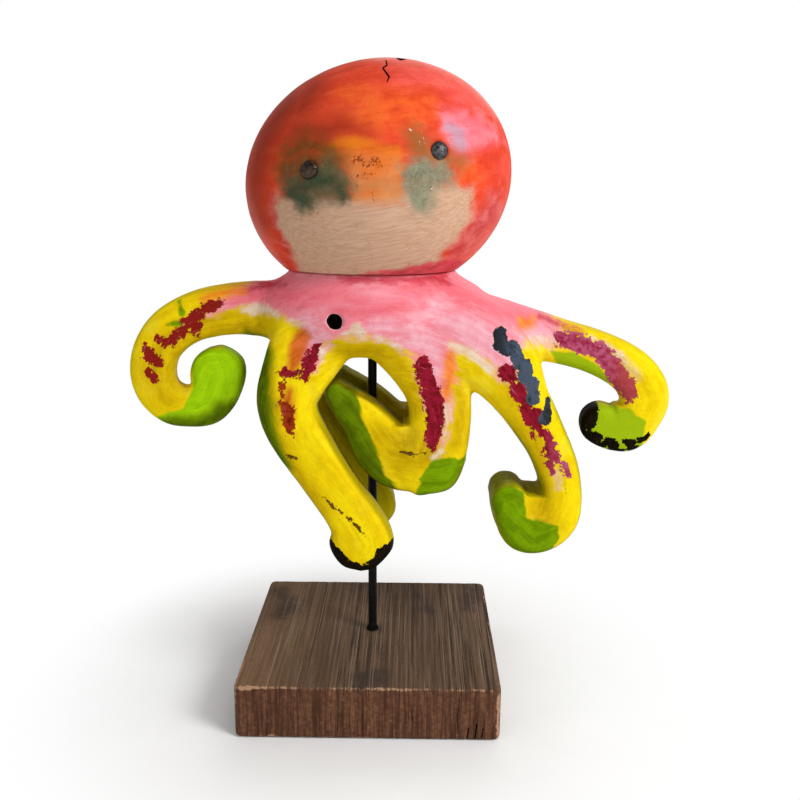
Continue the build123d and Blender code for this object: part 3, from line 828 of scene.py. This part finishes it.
def brush_lines(x, z, lines):
    """Distance along and across the nearest of the lines."""
    near = np.full(len(x), 1e9)
    along = np.zeros(len(x))
    across = np.zeros(len(x))
    for line in lines:
        start = 0.0
        for (x0, z0), (x1, z1) in zip(line, line[1:]):
            dx, dz = x1 - x0, z1 - z0
            size = math.hypot(dx, dz)
            t = np.clip(((x - x0) * dx + (z - z0) * dz) / size ** 2, 0, 1)
            gap = np.hypot(x - x0 - t * dx, z - z0 - t * dz)
            side = np.sign((x - x0) * dz - (z - z0) * dx)
            closer = gap < near
            near = np.where(closer, gap, near)
            along = np.where(closer, start + t * size, along)
            across = np.where(closer, gap * side, across)
            start += size
    return along, across


def glazed(name, co, normal):
    """How far olive covers each point: partly olive glaze on the sawn edges, partly painted shade on the
    shaded twins and the centre arms' crooks.
    """
    sawn = np.clip((SAWN_EDGE - np.abs(normal[:, 1])) / SAWN_SOFT, 0, 1)
    glaze_and_shade = np.maximum(WALLS.get(name, 0.0) * sawn, SHADED.get(name, 0.0) * (normal[:, 1] < SHADED_SIDE))
    # The centre arms' crooks get olive as painted shade
    if name.endswith("centre_arm"):
        crook = np.clip((STEP_X + CROOK_GLAZE - co[:, 0]) / CROOK_FADE, 0, 1)
        glaze_and_shade = np.maximum(glaze_and_shade, WALLS["front_centre_hook"] * sawn * crook)
    if name in ARMS:
        joint, heading = np.array(ARMS[name][0]), np.array(ARMS[name][1])
        glaze_and_shade = glaze_and_shade * np.clip((co - joint) @ heading / GLAZE_RUN, 0, 1)
    return glaze_and_shade


def brush_run(name, co, lines):
    """Each point's place across, through and along the run of the brush."""
    x, y, z = co.T
    if name == "mantle":
        dx, dz = x - FAN_X, z - FAN_Z
        return np.stack([np.hypot(dx, dz), y, FAN_SPREAD * np.arctan2(dx, dz)], 1)
    along, across = brush_lines(x, z, lines)
    return np.stack([across, y, along], 1)


def painted(piece, name, coats, lines):
    """Gives a piece the reach of each coat of paint and the run of the brush."""
    co, normal = points_of(piece.data)
    x, y, z = co.T
    middle = MIDDLE_Y.get(name, NO_LIMIT if name.startswith("front") else -NO_LIMIT)
    behind = y > middle
    outward = np.where(behind, normal[:, 1], -normal[:, 1])
    astern = np.clip((y - middle) / BACK_RUN, 0, 1)
    u = x + WANDER * astern * np.sin(z / WANDER_Z + 1.0)
    v = z + WANDER * astern * np.sin(x / WANDER_X)
    for coat, shapes in coats.items():
        reach = inside_of(u, v, shapes)
        if coat not in ALL_ROUND:
            reach -= SIDE_PULL * np.clip(SIDE_FROM - outward, 0, 2)
        if name == "head" and coat in FACE:
            reach = np.where(behind, np.minimum(reach, 1.0) - BACK_RUN * astern, reach)
        if (coat, name) in LEFT_OFF or name not in KEPT_TO.get(coat, (name,)):
            reach -= NO_LIMIT
        attribute(piece.data, coat, np.clip(reach, -REACH, REACH))
    attribute(piece.data, "glaze_and_shade", glazed(name, co, normal))
    # Which pieces take the darker olive, as painted shade
    attribute(piece.data, "deep_shade", np.full(len(x), float(name in SHADE_DARKENED_WALLS)))
    attribute(piece.data, "brush", brush_run(name, co, lines), "FLOAT_VECTOR")
    # The siphon hole is only painted: a disc whose dark inside is painted shade and whose rim gets a painted
    # highlight
    hole_shade_and_rim_light = SIPHON_EDGE - np.hypot(x - SIPHON[0], z - SIPHON[2])
    attribute(piece.data, "siphon", np.where((name == "mantle") & (y < SIPHON_SIDE), hole_shade_and_rim_light, NO_HOLE))


class Finish:
    """A node material built step by step."""

    def __init__(self, name, sheen=0.5):
        self.material = bpy.data.materials.new(name)
        self.material.use_nodes = True
        self.tree = self.material.node_tree
        self.surface = self.tree.nodes["Principled BSDF"]
        self.surface.inputs["Specular IOR Level"].default_value = sheen

    def node(self, kind, inputs=(), **settings):
        made = self.tree.nodes.new(kind)
        for key, value in settings.items():
            setattr(made, key, value)
        for key, value in dict(inputs).items():
            self.give(made.inputs[key], value)
        return made

    def give(self, socket, value):
        if isinstance(value, bpy.types.NodeSocket):
            self.tree.links.new(value, socket)
        else:
            socket.default_value = value

    def read(self, name, output="Fac"):
        return self.node("ShaderNodeAttribute", attribute_name=name).outputs[output]

    def place(self):
        return self.node("ShaderNodeTexCoord").outputs["Object"]

    def place_mm(self, turn=(0, 0, 0)):
        return self.scaled(self.place(), (1 / MM, 1 / MM, 1 / MM), turn)

    def scaled(self, vector, scale, turn=(0, 0, 0)):
        return self.node("ShaderNodeMapping", {"Vector": vector, "Scale": scale, "Rotation": turn}).outputs[0]

    def noise(self, vector, scale, detail=3.0, rough=0.55, twist=0.0):
        inputs = {"Vector": vector, "Scale": scale, "Detail": detail, "Roughness": rough, "Distortion": twist}
        return self.node("ShaderNodeTexNoise", inputs).outputs["Fac"]

    def sum(self, a, b, how="ADD"):
        return self.node("ShaderNodeMath", {0: a, 1: b}, operation=how).outputs[0]

    def times(self, a, b):
        return self.sum(a, b, "MULTIPLY")

    def swing(self, noise, size, middle=0.5):
        """A noise made to swing about nought."""
        return self.times(self.sum(noise, -middle), size)

    def blend(self, *parts):
        """A sum of values, each with its weight."""
        total = self.times(*parts[0])
        for part in parts[1:]:
            total = self.sum(total, self.times(*part))
        return total

    def step(self, value, low, high, to_low=0.0, to_high=1.0):
        inputs = {"Value": value, "From Min": low, "From Max": high, "To Min": to_low, "To Max": to_high}
        return self.node("ShaderNodeMapRange", inputs, interpolation_type="SMOOTHSTEP").outputs[0]

    def mix(self, share, a, b, how="MIX"):
        made = self.node("ShaderNodeMix", data_type="RGBA", blend_type=how)
        self.give(made.inputs[0], share)
        self.give(made.inputs[6], a if isinstance(a, bpy.types.NodeSocket) else (*a, 1))
        self.give(made.inputs[7], b if isinstance(b, bpy.types.NodeSocket) else (*b, 1))
        return made.outputs[2]

    def coat(self, colour, name, edge, soft, tint, cover):
        """Lays a coat where its reach, made ragged by edge, passes nought."""
        reach = self.sum(self.read(name), edge)
        return self.mix(self.step(reach, -soft, soft, 0, cover), colour, tint)

    def bump(self, height, distance, strength=1.0):
        inputs = {"Height": height, "Distance": distance * MM, "Strength": strength}
        return self.node("ShaderNodeBump", inputs).outputs[0]

    def done(self, colour, roughness, normal):
        self.give(self.surface.inputs["Base Color"], colour)
        self.give(self.surface.inputs["Roughness"], roughness)
        self.give(self.surface.inputs["Normal"], normal)
        return self.material


def figure_paint():
    """Yellow ground with a pink body, and dabs and dips of other colours over them; the ochre, dark green and
    olive are partly painted shade, and the siphon hole is painted.
    """
    f = Finish("painted_arms", 0.012)
    brush = f.read("brush", "Vector")
    place = f.place_mm()
    level = f.node("ShaderNodeSeparateXYZ", {0: place}).outputs
    x, z = level["X"], level["Z"]
    streak = f.noise(f.scaled(brush, (0.30, 0.30, 0.035)), 1.0, 4, 0.55, 0.4)
    hair = f.noise(f.scaled(brush, (1.5, 1.2, 0.10)), 1.0, 3, 0.6)
    broad = f.noise(place, 0.045, 3)
    mottle = f.noise(place, 0.2, 5, 0.62)
    flake = f.noise(place, 0.42, 5, 0.62)
    grain = f.noise(place, 1.3, 3, 0.6)
    nick = f.noise(f.scaled(brush, (0.55, 0.55, 0.22)), 1.0, 4, 0.75)
    loose = f.sum(f.sum(f.sum(streak, mottle), -1.0), f.swing(nick, 0.6))
    crisp = f.sum(f.sum(f.sum(flake, -0.5), f.swing(nick, 0.5)), f.swing(hair, 0.3))
    tone = f.blend((streak, 0.45), (mottle, 0.35), (hair, 0.2))
    colour = f.mix(f.step(tone, 0.38, 0.60), (0.72, 0.49, 0.002), (0.88, 0.68, 0.004))
    colour = f.mix(f.step(broad, 0.52, 0.68, 0, 0.5), colour, (0.86, 0.70, 0.04))
    # Coat, raggedness, softness of its edge, dark and light tint, cover
    coats = (
        # The ochre coat is partly stain and partly painted shade on the arms' shaded sides
        ("ochre_and_shade", 14.0, 5.0, (0.42, 0.25, 0.001), (0.66, 0.44, 0.002), 0.85),
        ("pink", 8.0, 2.4, (0.82, 0.21, 0.26), (0.87, 0.34, 0.40), 1.0),
        ("rose", 11.0, 3.6, (0.76, 0.105, 0.145), (0.84, 0.18, 0.225), 0.85),
        ("blush", 10.0, 5.0, (0.80, 0.32, 0.39), (0.86, 0.46, 0.53), 0.85),
        ("crimson", 5.0, 1.8, (0.40, 0.020, 0.028), (0.62, 0.06, 0.09), 0.95),
        ("bare", 5.0, 1.5, (0.62, 0.42, 0.26), (0.80, 0.64, 0.48), 0.92),
        ("orange", 5.0, 2.2, (0.80, 0.17, 0.016), (0.90, 0.28, 0.028), 0.95),
        ("rust", 5.0, 2.0, (0.48, 0.07, 0.008), (0.68, 0.14, 0.016), 0.95),
        ("lime", 2.4, 0.6, (0.26, 0.49, 0.0015), (0.37, 0.64, 0.004), 1.0),
        ("leaf", 3.0, 0.7, (0.11, 0.21, 0.0004), (0.19, 0.34, 0.001), 1.0),
        # The dark green coat is partly green paint and partly painted shade
        ("green_and_shade", 4.0, 3.0, (0.060, 0.095, 0.0006), (0.11, 0.185, 0.001), 1.0),
        ("hook_green", 3.0, 1.0, (0.070, 0.11, 0.0006), (0.13, 0.22, 0.001), 1.0),
    )
    for name, rag, soft, low, high, cover in coats:
        tint = f.mix(f.step(tone, 0.40, 0.60), low, high)
        if name == "lime":
            tint = f.mix(f.step(x, 60, 80, 0, 0.8), tint, (0.31, 0.42, 0.006))
            low_curl = f.times(f.step(x, -40, -20, 1, 0), f.step(z, 119, 132, 0.25, 0))
            tint = f.mix(low_curl, tint, (0.10, 0.20, 0.0006))
        colour = f.coat(colour, name, f.times(loose, rag), soft, tint, cover)
    # Olive on the sawn edges and the back twins: partly olive glaze, partly painted shade; its darker tint is
    # painted shade on the walls that lie in shadow
    glaze_and_shade = f.times(f.read("glaze_and_shade"), f.step(mottle, 0.3, 0.7, 0.8, 1.05))
    olive_and_shade = f.mix(f.read("deep_shade"), f.mix(f.step(tone, 0.4, 0.6), (0.23, 0.22, 0.001), (0.36, 0.36, 0.001)),
                  f.mix(f.step(tone, 0.4, 0.6), (0.080, 0.068, 0.001), (0.17, 0.155, 0.001)))
    colour = f.mix(glaze_and_shade, colour, olive_and_shade)
    height = f.blend((tone, 0.5), (grain, 0.12))
    # Coat, raggedness, noise that shades it, thickness, dark, middle and light tint
    thick = (
        ("maroon", 8.0, nick, 0.5, (0.14, 0.003, 0.008), (0.27, 0.007, 0.026), (0.50, 0.12, 0.17)),
        ("slate", 3.0, mottle, 0.2, (0.022, 0.032, 0.044), (0.056, 0.080, 0.118), (0.09, 0.12, 0.16)),
        ("black", 4.0, nick, 0.3, (0.002, 0.002, 0.001), (0.004, 0.004, 0.003), (0.008, 0.008, 0.006)),
        ("scuff", 4.0, nick, 0.1, (0.06, 0.03, 0.004), (0.13, 0.06, 0.006), (0.30, 0.17, 0.01)),
    )
    for name, rag, shade, build, low, middle, high in thick:
        reach = f.sum(f.read(name), f.times(crisp, rag))
        mask = f.step(reach, -0.1, 0.1)
        tint = f.mix(f.step(shade, 0.40, 0.56), low, middle)
        if name == "slate":
            tint = f.mix(f.step(x, 53, 60, 0.85, 0), tint, (0.008, 0.012, 0.015))
            tint = f.mix(f.step(x, 71, 74, 0, 0.7), tint, (0.010, 0.012, 0.012))
        if name == "maroon":
            madder = f.mix(f.step(flake, 0.34, 0.66), (0.28, 0.014, 0.055), (0.48, 0.10, 0.20))
            tint = f.mix(f.step(x, 72, 84, 0, 0.9), tint, madder)
            tint = f.mix(f.step(x, 98, 110, 0, 0.8), tint, (0.38, 0.05, 0.045))
            tint = f.mix(f.step(x, -64, -48, 0.8, 0), tint, (0.23, 0.011, 0.005))
            low_dab = f.times(f.step(x, -29, -26, 1, 0), f.step(z, 147, 152, 0.9, 0))
            russet = f.mix(f.step(flake, 0.40, 0.58), (0.13, 0.008, 0.002), (0.30, 0.036, 0.003))
            tint = f.mix(f.times(low_dab, f.step(x, -48, -44)), tint, russet)
        tint = f.mix(f.step(hair, 0.62, 0.72, 0, 0.8), tint, high)
        colour = f.mix(mask, colour, tint)
        height = f.sum(height, f.times(mask, build))
    # Painted siphon hole: a painted highlight on its rim and black painted shade inside it
    hole_shade_and_rim_light = f.sum(f.read("siphon"), f.swing(mottle, 1.6))
    colour = f.mix(f.step(hole_shade_and_rim_light, -0.55, -0.25, 0, 0.35), colour, (0.80, 0.62, 0.58))
    colour = f.mix(f.step(hole_shade_and_rim_light, -0.12, 0.08), colour, (0.002, 0.002, 0.001))
    grime = f.step(f.times(grain, mottle), 0.37, 0.43, 0, 0.55)
    colour = f.mix(grime, colour, (0.14, 0.08, 0.02))
    colour = f.mix(f.step(grain, 0.35, 0.7, 0.08, 0), colour, (0.1, 0.05, 0.01))
    rough = f.step(broad, 0.3, 0.7, 0.40, 0.55)
    return f.done(colour, rough, f.bump(height, 0.22, 0.5))


def head_paint():
    """Red and orange crown over a bare wood chin, with dull green patches under the eyes, and painted shade
    on its left side.
    """
    f = Finish("painted_head", 0.04)
    place = f.place_mm((0, math.radians(BRUSH_TILT), 0))
    level = f.node("ShaderNodeSeparateXYZ", {0: f.place_mm()}).outputs
    x, z = level["X"], level["Z"]
    streak = f.noise(f.scaled(place, (0.035, 0.12, 0.16)), 1.0, 4, 0.55, 0.5)
    broad = f.noise(place, 0.04, 3)
    mottle = f.noise(place, 0.16, 5, 0.62)
    hair = f.noise(f.scaled(place, (0.05, 1.0, 1.5)), 1.0, 3, 0.6)
    stipple = f.noise(place, 1.1, 4, 0.75)
    fuzz = f.blend((f.noise(place, 2.2, 3, 0.7), 0.55), (f.noise(place, 0.35, 4, 0.65), 0.45))
    grain = f.noise(place, 1.4, 3, 0.6)
    loose = f.sum(f.sum(streak, mottle), -1.0)
    tone = f.blend((streak, 0.5), (mottle, 0.35), (hair, 0.15))
    dots = f.sum(f.sum(fuzz, -0.5), f.sum(mottle, -0.5))
    colour = f.mix(f.step(tone, 0.38, 0.62), (0.60, 0.045, 0.014), (0.80, 0.078, 0.032))
    colour = f.mix(f.step(broad, 0.52, 0.68, 0, 0.35), colour, (0.80, 0.08, 0.05))
    wood = f.mix(f.step(hair, 0.30, 0.66), (0.48, 0.28, 0.175), (0.59, 0.37, 0.25))
    wood = f.mix(f.step(mottle, 0.5, 0.7, 0, 0.3), wood, (0.56, 0.32, 0.19))
    # Coat, raggedness, softness of its edge, dark and light tint, cover
    coats = (
        # The darker red is partly paint and partly painted shade on the left side
        ("dark_red_and_shade", 12.0, 9.0, (0.18, 0.016, 0.005), (0.32, 0.032, 0.008), 0.88),
        ("coral", 10.0, 8.0, (0.76, 0.085, 0.070), (0.84, 0.12, 0.10), 0.9),
        ("orange", 10.0, 5.0, (0.76, 0.090, 0.016), (0.84, 0.135, 0.024), 0.9),
        ("pink", 7.0, 4.0, (0.80, 0.14, 0.175), (0.86, 0.21, 0.25), 0.92),
        ("lavender", 4.0, 2.4, (0.40, 0.23, 0.31), (0.48, 0.29, 0.38), 0.85),
        ("blood", 8.0, 4.0, (0.58, 0.045, 0.028), (0.70, 0.075, 0.05), 0.85),
        ("crimson", 12.0, 5.0, (0.44, 0.045, 0.055), (0.62, 0.13, 0.12), 0.9),
        ("peach", 6.0, 3.6, (0.56, 0.21, 0.070), (0.66, 0.28, 0.105), 0.95),
        ("amber", 5.0, 2.6, (0.56, 0.09, 0.004), (0.74, 0.19, 0.010), 0.92),
        ("ember", 8.0, 4.0, (0.62, 0.11, 0.010), (0.72, 0.16, 0.018), 0.8),
        ("bare", 5.0, 2.4, wood, wood, 1.0),
        ("collar", 5.0, 1.2, (0.42, 0.022, 0.030), (0.66, 0.085, 0.11), 0.95),
    )
    for name, rag, soft, low, high, cover in coats:
        tint = f.mix(f.step(tone, 0.40, 0.60), low, high)
        if name == "peach":
            tint = f.mix(f.step(z, 224, 240, 0, 0.75), tint, (0.70, 0.15, 0.020))
        colour = f.coat(colour, name, f.times(loose, rag), soft, tint, cover)
    scrubbed = (
        ("umber", 9.0, 4.6, (0.080, 0.032, 0.004), (0.20, 0.080, 0.016), 0.88),
        ("teal", 9.0, 3.6, (0.046, 0.056, 0.024), (0.13, 0.140, 0.070), 0.92),
        ("deep_teal", 8.0, 3.0, (0.014, 0.032, 0.015), (0.045, 0.075, 0.040), 0.85),
    )
    for name, rag, soft, low, high, cover in scrubbed:
        tint = f.mix(f.step(fuzz, 0.30, 0.70), low, high)
        if name != "umber":
            pale = f.mix(f.step(fuzz, 0.30, 0.70), (0.13, 0.15, 0.090), (0.36, 0.36, 0.25))
            tint = f.mix(f.step(x, -5, 15, 0, 0.75), tint, pale)
        else:
            tint = f.mix(f.step(x, -5, 15, 0, 0.7), tint, (0.34, 0.13, 0.032))
        colour = f.coat(colour, name, f.times(dots, rag), soft, tint, cover)
    crust = f.sum(f.read("crust"), f.swing(stipple, 12.0, 0.55))
    colour = f.mix(f.step(crust, -0.2, 0.3, 0, 0.85), colour, (0.20, 0.028, 0.006))
    chafed = f.sum(f.read("scratch"), f.swing(stipple, 0.8))
    colour = f.mix(f.step(chafed, -0.1, 0.1, 0, 0.8), colour, (0.78, 0.60, 0.50))
    pecked = f.sum(f.read("peck"), f.swing(stipple, 1.2))
    colour = f.mix(f.step(pecked, -0.1, 0.1, 0, 0.9), colour, (0.020, 0.010, 0.006))
    colour = f.mix(f.step(f.read("crack"), -0.15, 0.1), colour, (0.010, 0.004, 0.003))
    grime = f.step(f.times(grain, mottle), 0.36, 0.43, 0, 0.5)
    colour = f.mix(grime, colour, (0.10, 0.035, 0.012))
    height = f.blend((tone, 0.5), (grain, 0.12))
    rough = f.step(broad, 0.3, 0.7, 0.36, 0.5)
    return f.done(colour, rough, f.bump(height, 0.2, 0.5))


def worn_teak():
    """Old teak: upright sheets of grain, grey on top, redder on the sides, pale on worn edges."""
    f = Finish("worn_teak", 0.12)
    place = f.place_mm()
    x = f.node("ShaderNodeSeparateXYZ", {0: place}).outputs["X"]
    lines = f.noise(f.scaled(place, (0.75, 0.014, 0.03)), 1.0, 5, 0.7, 0.3)
    bands = f.noise(f.scaled(place, (0.13, 0.006, 0.012)), 1.0, 3, 0.6)
    pores = f.noise(f.scaled(place, (2.2, 0.10, 0.35)), 1.0, 3, 0.7)
    threads = f.noise(f.scaled(place, (1.5, 0.010, 0.02)), 1.0, 2, 0.5)
    blot = f.noise(place, 0.06, 4, 0.6)
    fleck = f.noise(place, 0.55, 4, 0.7)
    top = f.mix(f.step(lines, 0.38, 0.62), (0.034, 0.020, 0.012), (0.17, 0.10, 0.060))
    top = f.mix(f.step(bands, 0.42, 0.60, 0, 0.6), top, (0.105, 0.060, 0.034))
    top = f.mix(f.step(x, -52, -12, 0.5, 0), top, (0.23, 0.13, 0.066))
    dull = f.sum(f.read("stain"), f.times(f.sum(f.sum(blot, fleck), -1.0), 16.0))
    top = f.mix(f.step(dull, -4.0, 3.0, 0, 0.72), top, (0.040, 0.029, 0.024))
    top = f.mix(f.step(threads, 0.60, 0.68, 0, 0.7), top, (0.27, 0.19, 0.135))
    top = f.mix(f.step(fleck, 0.60, 0.72, 0, 0.4), top, (0.19, 0.15, 0.12))
    top = f.mix(f.step(fleck, 0.30, 0.42, 0.5, 0), top, (0.030, 0.019, 0.013))
    side = f.mix(f.step(lines, 0.34, 0.66), (0.050, 0.019, 0.009), (0.185, 0.080, 0.042))
    side = f.mix(f.step(fleck, 0.40, 0.56, 0.5, 0), side, (0.052, 0.022, 0.012))
    side = f.mix(f.step(pores, 0.3, 0.42, 0.6, 0), side, (0.022, 0.009, 0.005))
    side = f.mix(f.step(fleck, 0.60, 0.72, 0, 0.6), side, (0.27, 0.14, 0.080))
    colour = f.mix(f.step(f.read("upward"), 0.4, 0.8), side, top)
    worn = f.sum(f.read("edge"), f.sum(f.sum(f.sum(lines, blot), fleck), -1.5))
    colour = f.mix(f.step(worn, 0.42, 0.60, 0, 0.85), colour, (0.44, 0.26, 0.155))
    colour = f.mix(f.step(f.read("split"), -0.12, 0.08), colour, (0.008, 0.004, 0.002))
    height = f.sum(lines, f.times(pores, 0.6))
    rough = f.step(blot, 0.3, 0.7, 0.72, 0.88)
    return f.done(colour, rough, f.bump(height, 0.5, 0.8))


def black_rod():
    """Satin black paint, a little uneven."""
    f = Finish("black_rod", 0.08)
    place = f.place_mm()
    coat = f.noise(place, 0.9, 4, 0.6)
    colour = f.mix(f.step(coat, 0.4, 0.7), (0.003, 0.003, 0.003), (0.012, 0.012, 0.011))
    return f.done(colour, f.step(coat, 0.3, 0.7, 0.38, 0.6), f.bump(coat, 0.15, 0.5))


def iron_nail(name, low, high):
    """Dark hammered iron between two tints."""
    f = Finish(name)
    place = f.place_mm()
    coat = f.noise(place, 0.7, 4, 0.6)
    colour = f.mix(f.step(coat, 0.35, 0.65), low, high)
    f.surface.inputs["Metallic"].default_value = 0.7
    return f.done(colour, f.step(coat, 0.3, 0.7, 0.3, 0.55), f.bump(coat, 0.25, 0.6))


def plain_dowel():
    """Bare pale wood with its grain upright."""
    f = Finish("plain_dowel")
    place = f.place_mm()
    grain = f.noise(f.scaled(place, (1.2, 1.2, 0.15)), 1.0, 4, 0.6)
    colour = f.mix(f.step(grain, 0.35, 0.65), (0.50, 0.31, 0.16), (0.70, 0.48, 0.28))
    return f.done(colour, f.step(grain, 0.3, 0.7, 0.6, 0.75), f.bump(grain, 0.1, 0.5))


def old_block():
    """The block, with worn edges, splits in its front and grain that stands up on its faces."""
    bm = even_skin(merged_copy("base_block"), BASE_SKIN)
    sanded(bm, bm.verts, BLOCK_SANDING)
    bm.normal_update()
    for v in bm.verts:
        run = Vector(a * b for a, b in zip(v.co / MM, GROOVE_RUN))
        v.co -= v.normal * (GROOVE_DEPTH * MM * (0.5 + 0.5 * noise.noise(run)))
    low, high = (np.array(c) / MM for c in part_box("base_block"))
    opened(bm, SPLITS, SPLIT_DEPTH, lambda c: c.y < low[1] + SPLIT_SIDE)
    piece = finished("old_block", bm, "stand", "reclaimed_wood", "base_block")
    co, normal = points_of(piece.data)
    x, y, z = co.T
    attribute(piece.data, "upward", np.abs(normal[:, 2]))
    gaps = np.sort(np.minimum(co - low, high - co), axis=1)
    front = np.clip(1.0 - np.hypot(y - low[1], z - high[2]) / FRONT_WEAR, 0, 1)
    corner = np.clip(1.0 - np.hypot(y - low[1], x - high[0]) / CORNER_WEAR, 0, 1)
    faint = FAINT_SHARE * np.clip(1.0 - gaps[:, 1] / FAINT_WEAR, 0, 1)
    attribute(piece.data, "edge", np.maximum.reduce([front, corner, faint]))
    attribute(piece.data, "stain", np.clip(inside_of(x, y, STAINS), -REACH, REACH))
    in_front = y < low[1] + SPLIT_PAINT_SIDE
    attribute(piece.data, "split", np.where(in_front, inside_of(x, z, SPLITS), NO_HOLE))
    return piece


def dress(piece, material):
    """Gives a piece its only material."""
    piece.data.materials.clear()
    piece.data.materials.append(material)


def pale_floor():
    """A pale floor that keeps the shadow near the block and turns white further out."""
    bm = bmesh.new()
    bmesh.ops.create_grid(bm, x_segments=2, y_segments=2, size=FLOOR_SIZE)
    mesh = bpy.data.meshes.new("floor")
    bm.to_mesh(mesh)
    bm.free()
    floor = bpy.data.objects.new("floor", mesh)
    bpy.context.scene.collection.objects.link(floor)
    floor.location.z = FLOOR_LEVEL
    f = Finish("pale_floor")
    speck = f.noise(f.place(), 40.0)
    pale = f.mix(f.step(speck, 0.3, 0.7), (0.93, 0.93, 0.93), (0.95, 0.95, 0.95))
    f.done(pale, 0.9, f.bump(speck, 0.01))
    glow = f.node("ShaderNodeEmission", {"Strength": 1.0})
    apart = f.node("ShaderNodeVectorMath", {0: f.place()}, operation="LENGTH").outputs["Value"]
    rays = f.node("ShaderNodeLightPath").outputs
    seen = f.sum(f.sum(rays["Is Camera Ray"], rays["Is Glossy Ray"]), rays["Is Transmission Ray"], "MAXIMUM")
    share = f.times(f.step(apart, *FLOOR_FADE), f.step(seen, 0.0, 1.0))
    both = f.node("ShaderNodeMixShader", {0: share, 1: f.surface.outputs[0], 2: glow.outputs[0]})
    f.give(f.tree.nodes["Material Output"].inputs["Surface"], both.outputs[0])
    dress(floor, f.material)


def studio_sky():
    """A soft even sky that the camera sees as white."""
    world = bpy.data.worlds.new("studio")
    bpy.context.scene.world = world
    world.use_nodes = True
    tree = world.node_tree
    back = tree.nodes["Background"]
    path = tree.nodes.new("ShaderNodeLightPath").outputs
    total = tree.nodes.new("ShaderNodeMath")
    total.use_clamp = True
    tree.links.new(path["Is Camera Ray"], total.inputs[0])
    tree.links.new(path["Is Transmission Ray"], total.inputs[1])
    seen = tree.nodes.new("ShaderNodeMapRange")
    seen.inputs["To Min"].default_value = SKY_LIGHT
    seen.inputs["To Max"].default_value = 1.0
    tree.links.new(total.outputs[0], seen.inputs["Value"])
    tree.links.new(seen.outputs[0], back.inputs["Strength"])
    back.inputs["Color"].default_value = (1, 1, 1, 1)


def studio_lamps():
    """Round soft lamps aimed at the figure."""
    for name, at, size, power in LAMPS:
        lamp = bpy.data.lights.new(name, "AREA")
        lamp.shape = "DISK"
        lamp.size = size
        lamp.energy = power
        light = bpy.data.objects.new(name, lamp)
        bpy.context.scene.collection.objects.link(light)
        light.location = at
        light.rotation_euler = (Vector(LAMPS_AIM) - Vector(at)).to_track_quat("-Z", "Y").to_euler()


def front_camera():
    """The camera before the face, looking a little down."""
    camera = bpy.data.cameras.new("camera")
    camera.sensor_width = SENSOR
    camera.lens = CAMERA_LENS
    eye = bpy.data.objects.new("camera", camera)
    bpy.context.scene.collection.objects.link(eye)
    pitch, yaw, roll = (math.radians(a) for a in (CAMERA_PITCH, CAMERA_YAW, CAMERA_ROLL))
    ahead = Vector((math.sin(yaw) * math.cos(pitch), math.cos(yaw) * math.cos(pitch), -math.sin(pitch)))
    right = Vector((math.cos(yaw), -math.sin(yaw), 0))
    up = right.cross(ahead)
    turn = Matrix((right, up, -ahead)).transposed() @ Matrix.Rotation(roll, 3, "Z")
    eye.matrix_world = Matrix.Translation(Vector(CAMERA_AT) * MM) @ turn.to_4x4()
    bpy.context.scene.camera = eye
    bpy.context.scene.view_settings.view_transform = "Standard"


pale_floor()
studio_sky()
studio_lamps()
front_camera()

figure = {**carve_figure(), **carve_hooks()}
skin = figure_paint()
for name, piece in figure.items():
    painted(piece, name, FIGURE_COATS, [ARM_LINES[line] for line in LINES_ON[name]])
    dress(piece, skin)
head = carve_head()
painted(head, "head", HEAD_COATS, [HEAD_LINE])
dress(head, head_paint())
dress(old_block(), worn_teak())
dress(drawn_rod(), black_rod())
# The left eye's nail is darker and browner than the right one
dress(hammered_nail("left_eye_nail"), iron_nail("darker_brown_nail", (0.016, 0.009, 0.005), (0.085, 0.052, 0.033)))
dress(hammered_nail("right_eye_nail"), iron_nail("iron_nail", (0.018, 0.017, 0.017), (0.10, 0.10, 0.105)))
dowel_finish = plain_dowel()
for node in ("arm_dowels", "hook_dowels", "neck_dowels"):
    dress(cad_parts[node], dowel_finish)
